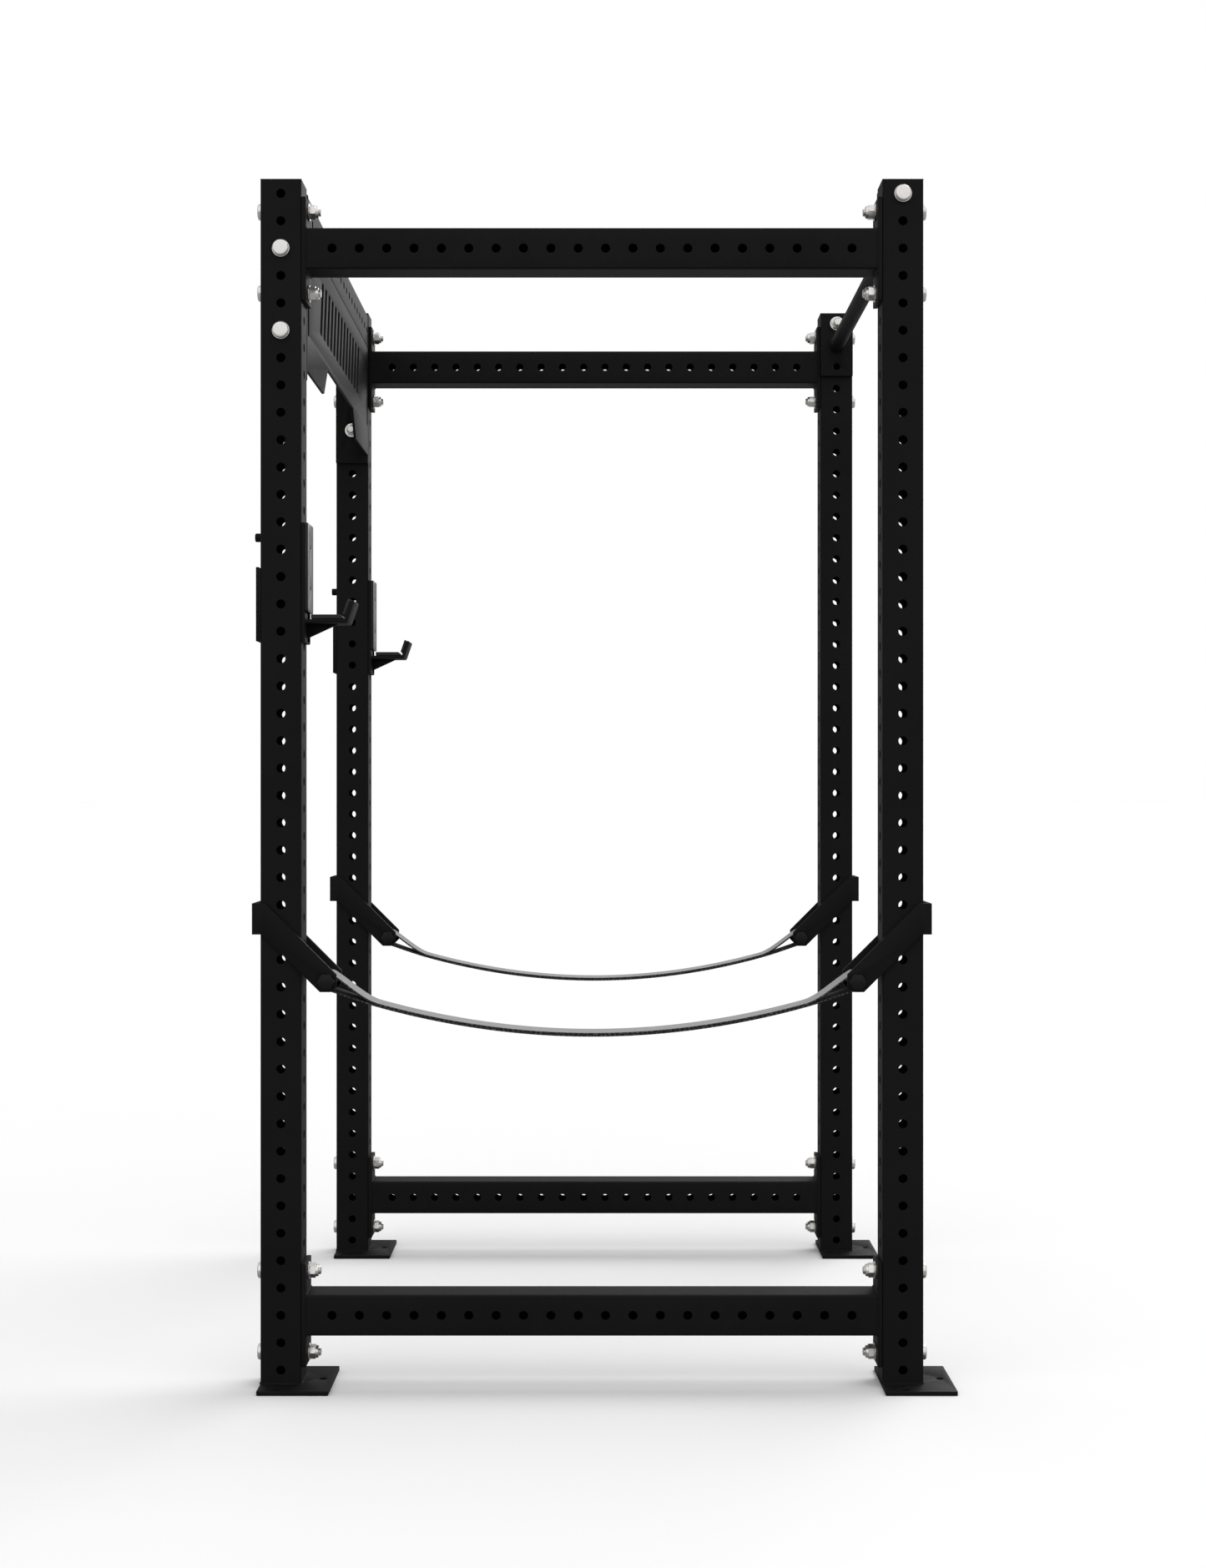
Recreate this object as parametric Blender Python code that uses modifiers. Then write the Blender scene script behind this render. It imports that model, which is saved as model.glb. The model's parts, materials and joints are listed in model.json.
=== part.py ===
"""Power cage: four perforated uprights, crossmembers, header, pull-up bar, J-hooks and safety straps.

Metres, +Z up, floor at Z = 0, origin under the middle of the whole object's box.
-X is the front (header and J-hooks), +X the rear (pull-up bar), -Y the left side, +Y the right side.
"""
import math

import bmesh
import bpy
from mathutils import Matrix, Vector

# Driving dimensions of the steelwork
PITCH = 0.050
TUBE = 0.075
HALF_TUBE = TUBE / 2
WALL = 0.003
CORNER_RADIUS = 0.006
CORNER_STEPS = 2
HALF_LENGTH = 0.5683
HALF_SPAN = 0.5675
GAP = 0.0003
FOOT_THICKNESS = 0.008
UPRIGHT_TOP = 2.208
CAP_THICKNESS = 0.0015
TOP_HOLE_Z = 2.183
UPRIGHT_HOLES = 44
HOLE_RADIUS = 0.0096
HOLE_SIDES = 6
FLANGE = 0.008
FLANGE_HEIGHT = 0.190
FLANGE_OVERLAP = 0.002
VENT_RADIUS = 0.012

# Places of the members
TOP_MEMBER_Z = 2.083
BOTTOM_MEMBER_Z = 0.133
HEADER_TUBE_Z = 2.1645
HEADER_FLANGE_TOP = 2.202
HEADER_FLANGE_BOTTOM = 1.856
PULL_UP_Z = 2.133
PULL_UP_RADIUS = 0.01685
PULL_UP_PLATE_HEIGHT = 0.145

# Foot plates
FOOT_DEPTH = 0.175
FOOT_REACH = 0.055
ANCHOR_RADIUS = 0.0070
ANCHOR_OFFSET = 0.035

# Fasteners
BOLT_RADIUS = 0.008
BOLT_SIDES = 8
VENT_SIDES = 8
ANCHOR_SIDES = 12
BAR_SIDES = 20
WASHER_RADIUS = 0.016
WASHER = 0.0025
HEAD_RADIUS = 0.01375
HEAD_TOP_RADIUS = 0.011
HEAD_HEIGHT = 0.010
HEAD_SHOULDER = 0.006
NUT_ACROSS_FLATS = 0.024
NUT_HEIGHT = 0.016
BOLT_END = 0.0045
STRAP_BOLT_FLATS = 0.027

# J-hooks, measured from the upright's inner face and the floor
HOOK_PIN_ROW = 12.5
HOOK_PLATE = 0.006
HOOK_TOP = 1.5822
HOOK_BOTTOM = 1.3628
HOOK_SHELF_TOP = 1.4058
HOOK_SHELF = 0.007
HOOK_REACH = 0.0847
LIP_LEAN = math.radians(19)
LIP_LENGTH = 0.0383
GUSSET_FOOT = 1.3722
GUSSET_REACH = 0.0637
GUSSET = 0.008
PAD = 0.0055
PAD_BOTTOM = 1.4196
SHELF_LINER = 0.008
SHELF_LINER_START = 0.0173
SHELF_LINER_END = 0.076
SHELF_LINER_SLOPE = 0.0058
LIP_LINER = 0.0055
LIP_LINER_START = 0.006
LIP_LINER_SLANT = 0.003
WRAP_TOP = 1.5005
WRAP_BOTTOM = 1.365
WRAP_PLATE = 0.0078
PIN_RADIUS = 0.008
PIN_PROUD = 0.0145

# Safety strap brackets and straps
BRACKET_PIN_ROW = 26.5
BRACKET_HALF_HEIGHT = 0.0285
SADDLE = 0.0138
SADDLE_PIN = 0.017
ARM = 0.008
ARM_WIDTH = 0.044
ARM_DROP = 0.019
ARM_REACH = 0.018
ARM_CHAMFER = 0.010
STRAP_BOLT_X = 0.484
STRAP_BOLT_Z = 0.7435
STRAP_BOLT_HEAD = 0.010
STRAP_BOLT_NUT = 0.016
STRAP_BOLT_END = 0.006
SLEEVE_RADIUS = 0.0125
SLEEVE_SIDES = 12
STRAP_WIDTH = 0.070
STRAP_THICKNESS = 0.007
STRAP_LOW = 0.642
STRAP_CURVE = 0.352
STRAP_MERGE = 0.093
STRAP_UPPER_LEAN = math.radians(33)
STRAP_LOWER_LEAN = math.radians(19)
STRAP_STEPS = 12
LOOP_STEPS = 5
ARC_STEPS = 8
EYE_STEPS = 3

# Header plate
HEADER_PLATE = 0.005
HEADER_LEG_Z = 1.875
HEADER_STEP_Z = 1.934
HEADER_LEG_Y = 0.277
HEADER_STEP_Y = 0.217
WINDOW_LOW = 1.981
WINDOW_HIGH = 2.089
WINDOW_HALF = 0.337
WINDOW_SLOTS = 13
SLOT_SHARE = 0.56
SLOT_SLANT = 0.030
END_SLOT_Y = 0.507
END_SLOT_HALF = 0.009
END_SLOT_LOW = 1.942
END_SLOT_HIGH = 2.074

# The middle of the cage is set back so that the whole object's box is centred on X = 0
CAGE_X = (PIN_PROUD - FOOT_REACH) / 2

SIDES = {"left": -1, "right": 1}
ENDS = {"front": -1, "rear": 1}

POWDER = ("powder_coat", (0.012, 0.012, 0.013), 0.55, 0.0)
ZINC = ("bright_zinc", (0.80, 0.78, 0.74), 0.28, 1.0)
BLACK_OXIDE = ("black_oxide", (0.015, 0.015, 0.016), 0.40, 1.0)
PLASTIC = ("liner_plastic", (0.020, 0.020, 0.021), 0.50, 0.0)
WEBBING = ("webbing", (0.30, 0.30, 0.31), 0.90, 0.0)


def start_scene():
    """Empty the scene and make the two collections."""
    for old in list(bpy.data.objects):
        bpy.data.objects.remove(old)
    collections = []
    for name in ("power_cage", "cutters"):
        collection = bpy.data.collections.new(name)
        bpy.context.scene.collection.children.link(collection)
        collections.append(collection)
    return collections


PARTS, CUTTERS = start_scene()


def hole_z(row):
    """Height of a hole counted down from the top one; half rows are the holes along X."""
    return TOP_HOLE_Z - row * PITCH


def finish_material(obj, finish):
    """Give a node its own material from a (name, colour, roughness, metallic) finish."""
    label, colour, roughness, metallic = finish
    material = bpy.data.materials.new(f"{obj.name}_{label}")
    material.use_nodes = True
    shader = material.node_tree.nodes["Principled BSDF"]
    shader.inputs["Base Color"].default_value = (*colour, 1.0)
    shader.inputs["Roughness"].default_value = roughness
    shader.inputs["Metallic"].default_value = metallic
    obj.data.materials.clear()
    obj.data.materials.append(material)


def add_object(name, mesh, collection, matrix=None):
    """Put a mesh in the scene as a named object."""
    obj = bpy.data.objects.new(name, mesh)
    collection.objects.link(obj)
    if matrix is not None:
        obj.matrix_world = matrix
    if collection is CUTTERS:
        obj.hide_render = True
        obj.display_type = "WIRE"
    return obj


def evaluated_mesh(obj, name):
    """The mesh of an object with its curve settings or modifiers applied, welded and facing out."""
    graph = bpy.context.evaluated_depsgraph_get()
    mesh = bpy.data.meshes.new_from_object(obj.evaluated_get(graph))
    mesh.name = name
    work = bmesh.new()
    work.from_mesh(mesh)
    bmesh.ops.remove_doubles(work, verts=work.verts, dist=0.00001)
    bmesh.ops.recalc_face_normals(work, faces=work.faces)
    work.to_mesh(mesh)
    work.free()
    return mesh


def box(name, low, high, collection):
    """A box between two corners."""
    low = Vector(low)
    high = Vector(high)
    work = bmesh.new()
    size = Matrix.Diagonal((*(high - low), 1.0))
    bmesh.ops.create_cube(work, size=1.0, matrix=Matrix.Translation((low + high) / 2) @ size)
    mesh = bpy.data.meshes.new(name)
    work.to_mesh(mesh)
    work.free()
    return add_object(name, mesh, collection)


def cylinder(name, start, end, radius, sides, collection, turn=0.0):
    """A prism of a given number of sides from one point to another."""
    start = Vector(start)
    end = Vector(end)
    along = end - start
    to_axis = along.to_track_quat("Z", "Y").to_matrix().to_4x4()
    place = Matrix.Translation((start + end) / 2) @ to_axis @ Matrix.Rotation(turn, 4, "Z")
    work = bmesh.new()
    bmesh.ops.create_cone(work, cap_ends=True, segments=sides, radius1=radius, radius2=radius,
                          depth=along.length, matrix=place)
    mesh = bpy.data.meshes.new(name)
    work.to_mesh(mesh)
    work.free()
    return add_object(name, mesh, collection)


def outline_solid(name, outlines, thickness, matrix, collection):
    """A flat outline, with any holes as further outlines, extruded evenly about its plane."""
    curve = bpy.data.curves.new(name, "CURVE")
    curve.dimensions = "2D"
    curve.fill_mode = "BOTH"
    curve.extrude = thickness / 2
    for outline in outlines:
        spline = curve.splines.new("POLY")
        spline.points.add(len(outline) - 1)
        for point, (across, up) in zip(spline.points, outline):
            point.co = (across, up, 0.0, 1.0)
        spline.use_cyclic_u = True
    source = add_object(f"{name}_outline", curve, CUTTERS)
    mesh = evaluated_mesh(source, name)
    bpy.data.objects.remove(source)
    mesh.transform(matrix)
    return add_object(name, mesh, collection)


def boolean(obj, tool, operation):
    """Cut a tool from an object, or join it on."""
    modifier = obj.modifiers.new(tool.name, "BOOLEAN")
    modifier.operation = operation
    modifier.solver = "EXACT"
    modifier.object = tool


def cut(obj, tool):
    boolean(obj, tool, "DIFFERENCE")


def join(obj, tool):
    boolean(obj, tool, "UNION")


def rounded_square(size, radius):
    """Outline of a square tube's section with rounded corners."""
    points = []
    inner = size / 2 - radius
    for quarter in range(4):
        centre_angle = math.radians(45 + 90 * quarter)
        centre = (math.copysign(inner, math.cos(centre_angle)), math.copysign(inner, math.sin(centre_angle)))
        for step in range(CORNER_STEPS + 1):
            angle = math.radians(90 * (quarter + step / CORNER_STEPS))
            points.append((centre[0] + radius * math.cos(angle), centre[1] + radius * math.sin(angle)))
    return points


# Frames that turn a shape drawn in a flat plane (across, up, out) into the cage's axes
ALONG_X = Matrix(((0, 0, 1, 0), (1, 0, 0, 0), (0, 1, 0, 0), (0, 0, 0, 1)))
ALONG_Y = Matrix(((1, 0, 0, 0), (0, 0, -1, 0), (0, 1, 0, 0), (0, 0, 0, 1)))


def tube(name, length, matrix, collection):
    """A square tube, open at both ends, centred on its matrix."""
    outer = rounded_square(TUBE, CORNER_RADIUS)
    inner = rounded_square(TUBE - 2 * WALL, CORNER_RADIUS - WALL)
    return outline_solid(name, [outer, inner], length, matrix, collection)


def hole_cutters(name, centres, axis, reach):
    """One cutter object of hexagonal prisms along an axis, one for each centre."""
    work = bmesh.new()
    for centre in centres:
        turn = Vector(axis).to_track_quat("Z", "Y").to_matrix().to_4x4()
        bmesh.ops.create_cone(work, cap_ends=True, segments=HOLE_SIDES, radius1=HOLE_RADIUS,
                              radius2=HOLE_RADIUS, depth=2 * reach,
                              matrix=Matrix.Translation(Vector(centre)) @ turn)
    mesh = bpy.data.meshes.new(name)
    work.to_mesh(mesh)
    work.free()
    return add_object(name, mesh, CUTTERS)


def upright_x(end):
    return CAGE_X + ENDS[end] * HALF_LENGTH


def upright_y(side):
    return SIDES[side] * HALF_SPAN


def member_bolt_heights():
    """Heights of the crossmembers' bolts: two holes above and below each member's middle."""
    return [middle + step * 1.5 * PITCH for middle in (TOP_MEMBER_Z, BOTTOM_MEMBER_Z) for step in (1, -1)]


def make_uprights():
    """The four perforated uprights with their foot plates and top caps."""
    for end in ENDS:
        for side in SIDES:
            tag = f"{end}_{side}"
            x = upright_x(end)
            y = upright_y(side)
            bottom = FOOT_THICKNESS + GAP
            middle = (bottom + UPRIGHT_TOP) / 2
            post = tube(f"upright_{tag}", UPRIGHT_TOP - bottom, Matrix.Translation((x, y, middle)), PARTS)
            across = [(x, y, hole_z(row)) for row in range(UPRIGHT_HOLES)]
            cut(post, hole_cutters(f"holes_y_{tag}", across, (0, 1, 0), TUBE))
            heights = member_bolt_heights() + [hole_z(BRACKET_PIN_ROW)]
            if end == "front":
                heights.append(hole_z(HOOK_PIN_ROW))
            along = [(x, y, height) for height in heights]
            cut(post, hole_cutters(f"holes_x_{tag}", along, (1, 0, 0), TUBE))
            finish_material(post, POWDER)
            make_foot_plate(tag, x, y)
            cap_low = (x - HALF_TUBE, y - HALF_TUBE, UPRIGHT_TOP + GAP)
            cap_high = (x + HALF_TUBE, y + HALF_TUBE, UPRIGHT_TOP + CAP_THICKNESS)
            cap = box(f"top_cap_{tag}", cap_low, cap_high, PARTS)
            finish_material(cap, POWDER)


def make_foot_plate(tag, x, y):
    """A welded base plate that reaches rearwards, with three anchor holes."""
    low = (x - HALF_TUBE, y - FOOT_DEPTH / 2, 0.0)
    high = (x + HALF_TUBE + FOOT_REACH, y + FOOT_DEPTH / 2, FOOT_THICKNESS)
    plate = box(f"foot_plate_{tag}", low, high, PARTS)
    from_centre = HALF_TUBE + ANCHOR_OFFSET
    places = [(x, y - from_centre), (x, y + from_centre), (x + from_centre, y)]
    for number, (hole_x, hole_y) in enumerate(places):
        drill = cylinder(f"anchor_{tag}_{number}", (hole_x, hole_y, -FLANGE), (hole_x, hole_y, 2 * FLANGE),
                         ANCHOR_RADIUS, ANCHOR_SIDES, CUTTERS)
        cut(plate, drill)
    finish_material(plate, POWDER)


def make_crossmembers():
    """Four side members: a tube welded between two flange plates that bolt to the uprights."""
    inner = HALF_LENGTH - HALF_TUBE - GAP
    for level, z in (("top", TOP_MEMBER_Z), ("bottom", BOTTOM_MEMBER_Z)):
        for side in SIDES:
            y = upright_y(side)
            name = f"crossmember_{level}_{side}"
            length = 2 * (inner - FLANGE + FLANGE_OVERLAP)
            member = tube(name, length, Matrix.Translation((CAGE_X, y, z)) @ ALONG_X, PARTS)
            for end, way in ENDS.items():
                near = CAGE_X + way * (inner - FLANGE)
                far = CAGE_X + way * inner
                low = (min(near, far), y - HALF_TUBE, z - FLANGE_HEIGHT / 2)
                high = (max(near, far), y + HALF_TUBE, z + FLANGE_HEIGHT / 2)
                join(member, box(f"{name}_flange_{end}", low, high, CUTTERS))
                vent = cylinder(f"{name}_vent_{end}", (near - way * FLANGE, y, z), (far + way * FLANGE, y, z),
                                VENT_RADIUS, VENT_SIDES, CUTTERS)
                cut(member, vent)
                heights = (z + 1.5 * PITCH, z - 1.5 * PITCH)
                places = [(far, y, height) for height in heights]
                cut(member, hole_cutters(f"{name}_bolt_holes_{end}", places, (1, 0, 0), 2 * FLANGE))
            finish_material(member, POWDER)


def make_header():
    """The front header: a tube with deep end flanges, and the cut-out plate under it."""
    x = upright_x("front")
    inner = HALF_SPAN - HALF_TUBE - GAP
    length = 2 * (inner - FLANGE + FLANGE_OVERLAP)
    frame = tube("header_frame", length, Matrix.Translation((x, 0, HEADER_TUBE_Z)) @ ALONG_Y, PARTS)
    for side, way in SIDES.items():
        near = way * (inner - FLANGE)
        far = way * inner
        low = (x - HALF_TUBE, min(near, far), HEADER_FLANGE_BOTTOM)
        high = (x + HALF_TUBE, max(near, far), HEADER_FLANGE_TOP)
        join(frame, box(f"header_flange_{side}", low, high, CUTTERS))
        vent = cylinder(f"header_vent_{side}", (x, near - way * FLANGE, HEADER_TUBE_Z),
                        (x, far + way * FLANGE, HEADER_TUBE_Z), VENT_RADIUS, VENT_SIDES, CUTTERS)
        cut(frame, vent)
        places = [(x, far, hole_z(row)) for row in (2, 5)]
        cut(frame, hole_cutters(f"header_bolt_holes_{side}", places, (0, 1, 0), 2 * FLANGE))
    finish_material(frame, POWDER)
    make_header_plate(x + HALF_TUBE, inner - FLANGE - GAP)


def make_header_plate(face_x, half_width):
    """The sheet under the header tube, with a grille of slanted slots and a slot at each end."""
    top = HEADER_TUBE_Z - HALF_TUBE - GAP
    half_outline = [(half_width, top), (half_width, HEADER_LEG_Z),
                    (HEADER_LEG_Y, HEADER_LEG_Z), (HEADER_STEP_Y, HEADER_STEP_Z)]
    outline = half_outline + [(-across, up) for across, up in reversed(half_outline)]
    outlines = [outline]
    slot_pitch = 2 * WINDOW_HALF / WINDOW_SLOTS
    half_slot = slot_pitch * SLOT_SHARE / 2
    for number in range(WINDOW_SLOTS):
        middle = (number + 0.5) * slot_pitch - WINDOW_HALF
        low = middle - SLOT_SLANT / 2
        high = middle + SLOT_SLANT / 2
        outlines.append([(low - half_slot, WINDOW_LOW), (low + half_slot, WINDOW_LOW),
                         (high + half_slot, WINDOW_HIGH), (high - half_slot, WINDOW_HIGH)])
    for way in SIDES.values():
        left = way * END_SLOT_Y - END_SLOT_HALF
        right = way * END_SLOT_Y + END_SLOT_HALF
        outlines.append([(left, END_SLOT_LOW), (right, END_SLOT_LOW),
                         (right, END_SLOT_HIGH), (left, END_SLOT_HIGH)])
    place = Matrix.Translation((face_x - HEADER_PLATE / 2, 0, 0)) @ ALONG_X
    plate = outline_solid("header_plate", outlines, HEADER_PLATE, place, PARTS)
    finish_material(plate, POWDER)


def make_pull_up_bar():
    """The rear pull-up bar with a bolted plate at each end."""
    x = upright_x("rear")
    inner = HALF_SPAN - HALF_TUBE - GAP
    reach = inner - FLANGE + FLANGE_OVERLAP
    bar = cylinder("pull_up_bar", (x, -reach, PULL_UP_Z), (x, reach, PULL_UP_Z), PULL_UP_RADIUS, BAR_SIDES,
                   PARTS)
    for side, way in SIDES.items():
        near = way * (inner - FLANGE)
        far = way * inner
        low = (x - HALF_TUBE, min(near, far), PULL_UP_Z - PULL_UP_PLATE_HEIGHT / 2)
        high = (x + HALF_TUBE, max(near, far), PULL_UP_Z + PULL_UP_PLATE_HEIGHT / 2)
        join(bar, box(f"pull_up_plate_{side}", low, high, CUTTERS))
        places = [(x, far, hole_z(row)) for row in (0, 2)]
        cut(bar, hole_cutters(f"pull_up_holes_{side}", places, (0, 1, 0), 2 * FLANGE))
    finish_material(bar, POWDER)


def bolt_mesh():
    """A through bolt along +Z: head and washer below zero, grip, then washer, hex nut and bolt end."""
    grip = TUBE + FLANGE + GAP
    nut_top = grip + GAP + WASHER + NUT_HEIGHT
    profile = [(0.0, nut_top + BOLT_END), (BOLT_RADIUS, nut_top + BOLT_END),
               (BOLT_RADIUS, grip + GAP + WASHER), (WASHER_RADIUS, grip + GAP + WASHER),
               (WASHER_RADIUS, grip + GAP), (BOLT_RADIUS, grip + GAP), (BOLT_RADIUS, -GAP),
               (WASHER_RADIUS, -GAP), (WASHER_RADIUS, -GAP - WASHER), (HEAD_RADIUS, -GAP - HEAD_SHOULDER),
               (HEAD_TOP_RADIUS, -GAP - HEAD_HEIGHT), (0.0, -GAP - HEAD_HEIGHT)]
    mesh = bpy.data.meshes.new("bolt_profile")
    points = [(radius, 0.0, height) for radius, height in profile]
    edges = [(number, number + 1) for number in range(len(points) - 1)]
    mesh.from_pydata(points, edges, [])
    turned = add_object("bolt_turned", mesh, CUTTERS)
    screw = turned.modifiers.new("turn", "SCREW")
    screw.steps = BOLT_SIDES
    screw.render_steps = BOLT_SIDES
    screw.use_merge_vertices = True
    screw.merge_threshold = 0.00005
    nut = cylinder("bolt_nut", (0, 0, nut_top - NUT_HEIGHT - WASHER / 2), (0, 0, nut_top),
                   NUT_ACROSS_FLATS / math.sqrt(3), 6, CUTTERS)
    join(turned, nut)
    return evaluated_mesh(turned, "through_bolt")


def make_bolts():
    """The 22 identical through bolts, heads on the outer faces and nuts on the flanges."""
    shared = bolt_mesh()
    levels = (("top", TOP_MEMBER_Z), ("bottom", BOTTOM_MEMBER_Z))
    for level, middle in levels:
        for side in SIDES:
            for end, way in ENDS.items():
                for row, step in (("upper", 1), ("lower", -1)):
                    outer = CAGE_X + way * (HALF_LENGTH + HALF_TUBE)
                    start = (outer, upright_y(side), middle + step * 1.5 * PITCH)
                    place_bolt(f"bolt_{level}_{side}_{end}_{row}", shared, start, (-way, 0, 0))
    for side, way in SIDES.items():
        for row_name, row in (("upper", 2), ("lower", 5)):
            start = (upright_x("front"), way * (HALF_SPAN + HALF_TUBE), hole_z(row))
            place_bolt(f"bolt_header_{side}_{row_name}", shared, start, (0, -way, 0))
        start = (upright_x("rear"), way * (HALF_SPAN + HALF_TUBE), hole_z(0))
        place_bolt(f"bolt_pull_up_bar_{side}", shared, start, (0, -way, 0))


def place_bolt(name, mesh, start, direction):
    """A copy of a bolt with its head's underside at a point and its shank along a direction."""
    turn = Vector(direction).to_track_quat("Z", "Y").to_matrix().to_4x4()
    own = mesh.copy()
    bolt = add_object(name, own, PARTS, Matrix.Translation(Vector(start)) @ turn)
    finish_material(bolt, ZINC)
    return bolt


def hook_outline():
    """Side outline of the hook's bent plate: (distance from the upright's face, height)."""
    shelf_bottom = HOOK_SHELF_TOP - HOOK_SHELF
    out = Vector((math.sin(LIP_LEAN), math.cos(LIP_LEAN)))
    inward = Vector((-math.cos(LIP_LEAN), math.sin(LIP_LEAN)))
    foot = Vector((HOOK_REACH, shelf_bottom + HOOK_SHELF / 2))
    tip = foot + out * LIP_LENGTH
    inner_tip = tip + inward * HOOK_SHELF
    inner_foot_x = inner_tip.x - (inner_tip.y - HOOK_SHELF_TOP) * math.tan(LIP_LEAN)
    return [(GAP, HOOK_BOTTOM), (GAP + HOOK_PLATE, HOOK_BOTTOM), (GAP + HOOK_PLATE, shelf_bottom),
            (HOOK_REACH - HOOK_SHELF / 3, shelf_bottom), tuple(foot), tuple(tip), tuple(inner_tip),
            (inner_foot_x, HOOK_SHELF_TOP), (GAP + HOOK_PLATE, HOOK_SHELF_TOP),
            (GAP + HOOK_PLATE, HOOK_TOP), (GAP, HOOK_TOP)]


def make_j_hooks():
    """The two J-hooks on the front uprights, each a steel hook with three plastic liners."""
    face = upright_x("front") + HALF_TUBE
    pin_z = hole_z(HOOK_PIN_ROW)
    for side in SIDES:
        y = upright_y(side)
        place = Matrix.Translation((face, y, 0)) @ ALONG_Y
        hook = outline_solid(f"j_hook_{side}", [hook_outline()], TUBE, place, PARTS)
        front = face + GAP + HOOK_PLATE
        back = face - TUBE - GAP - WRAP_PLATE
        inner = y + HALF_TUBE + GAP
        outer = inner + WRAP_PLATE
        strip = box(f"hook_strip_{side}", (face + GAP, y, WRAP_BOTTOM), (front, outer, WRAP_TOP), CUTTERS)
        wrap = box(f"hook_wrap_{side}", (back, inner, WRAP_BOTTOM), (front, outer, WRAP_TOP), CUTTERS)
        tongue = box(f"hook_tongue_{side}", (back, y - HALF_TUBE, WRAP_BOTTOM),
                     (face - TUBE - GAP, outer, WRAP_TOP), CUTTERS)
        gusset = outline_solid(f"hook_gusset_{side}", [gusset_outline()], GUSSET, place, CUTTERS)
        pin = cylinder(f"hook_pin_{side}", (face - TUBE - PIN_PROUD, y, pin_z),
                       (face + GAP + HOOK_PLATE / 2, y, pin_z), PIN_RADIUS, BOLT_SIDES, CUTTERS)
        for tool in (strip, wrap, tongue, gusset, pin):
            join(hook, tool)
        finish_material(hook, POWDER)
        make_hook_liners(side, face, y)


def gusset_outline():
    """The rib under the shelf, let into the back plate and the shelf."""
    shelf_bottom = HOOK_SHELF_TOP - HOOK_SHELF
    inside = shelf_bottom + HOOK_SHELF / 2
    return [(HOOK_PLATE / 2, GUSSET_FOOT), (HOOK_PLATE + GAP, GUSSET_FOOT), (GUSSET_REACH, shelf_bottom),
            (GUSSET_REACH, inside), (HOOK_PLATE / 2, inside)]


def make_hook_liners(side, face, y):
    """The plastic pad on the hook's back, and the liners on its shelf and lip."""
    back_x = face + GAP + HOOK_PLATE + GAP
    pad = box(f"j_hook_back_pad_{side}", (back_x, y - HALF_TUBE, PAD_BOTTOM),
              (back_x + PAD, y + HALF_TUBE, HOOK_TOP), PARTS)
    finish_material(pad, PLASTIC)
    place = Matrix.Translation((face, y, 0)) @ ALONG_Y
    low = HOOK_SHELF_TOP + GAP
    high = low + SHELF_LINER
    shelf_outline = [(SHELF_LINER_START, low), (SHELF_LINER_END, low),
                     (SHELF_LINER_END - SHELF_LINER_SLOPE, high), (SHELF_LINER_START, high)]
    shelf = outline_solid(f"j_hook_shelf_liner_{side}", [shelf_outline], TUBE, place, PARTS)
    finish_material(shelf, PLASTIC)
    out = Vector((math.sin(LIP_LEAN), math.cos(LIP_LEAN)))
    inward = Vector((-math.cos(LIP_LEAN), math.sin(LIP_LEAN)))
    foot = Vector((HOOK_REACH, HOOK_SHELF_TOP - HOOK_SHELF / 2))
    steel_face = foot + inward * (HOOK_SHELF + GAP)
    start = steel_face + out * LIP_LINER_START
    finish = steel_face + out * LIP_LENGTH
    lip_outline = [tuple(start), tuple(finish), tuple(finish + inward * LIP_LINER),
                   tuple(start + inward * LIP_LINER + out * LIP_LINER_SLANT)]
    lip = outline_solid(f"j_hook_lip_liner_{side}", [lip_outline], TUBE, place, PARTS)
    finish_material(lip, PLASTIC)


def arm_outline(way):
    """Side outline of a strap bracket's arm in cage X and Z; way is -1 for the front, 1 for the rear."""
    pin_z = hole_z(BRACKET_PIN_ROW)
    outer = -(HALF_LENGTH + HALF_TUBE + GAP + SADDLE)
    rise = ARM_WIDTH / math.sqrt(2)
    bolt_sum = STRAP_BOLT_Z - STRAP_BOLT_X
    upper_sum = bolt_sum + rise
    lower_sum = bolt_sum - rise
    top = pin_z + BRACKET_HALF_HEIGHT
    bottom = pin_z - BRACKET_HALF_HEIGHT
    end_low = STRAP_BOLT_Z - ARM_DROP
    end_x = -STRAP_BOLT_X + ARM_REACH
    outline = [(outer, bottom), (lower_sum - bottom, bottom), (lower_sum - end_low, end_low),
               (end_x - ARM_CHAMFER, end_low), (end_x, end_low + ARM_CHAMFER), (end_x, upper_sum - end_x),
               (upper_sum - top, top), (outer, top)]
    return [(CAGE_X - way * across, up) for across, up in outline]


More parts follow.
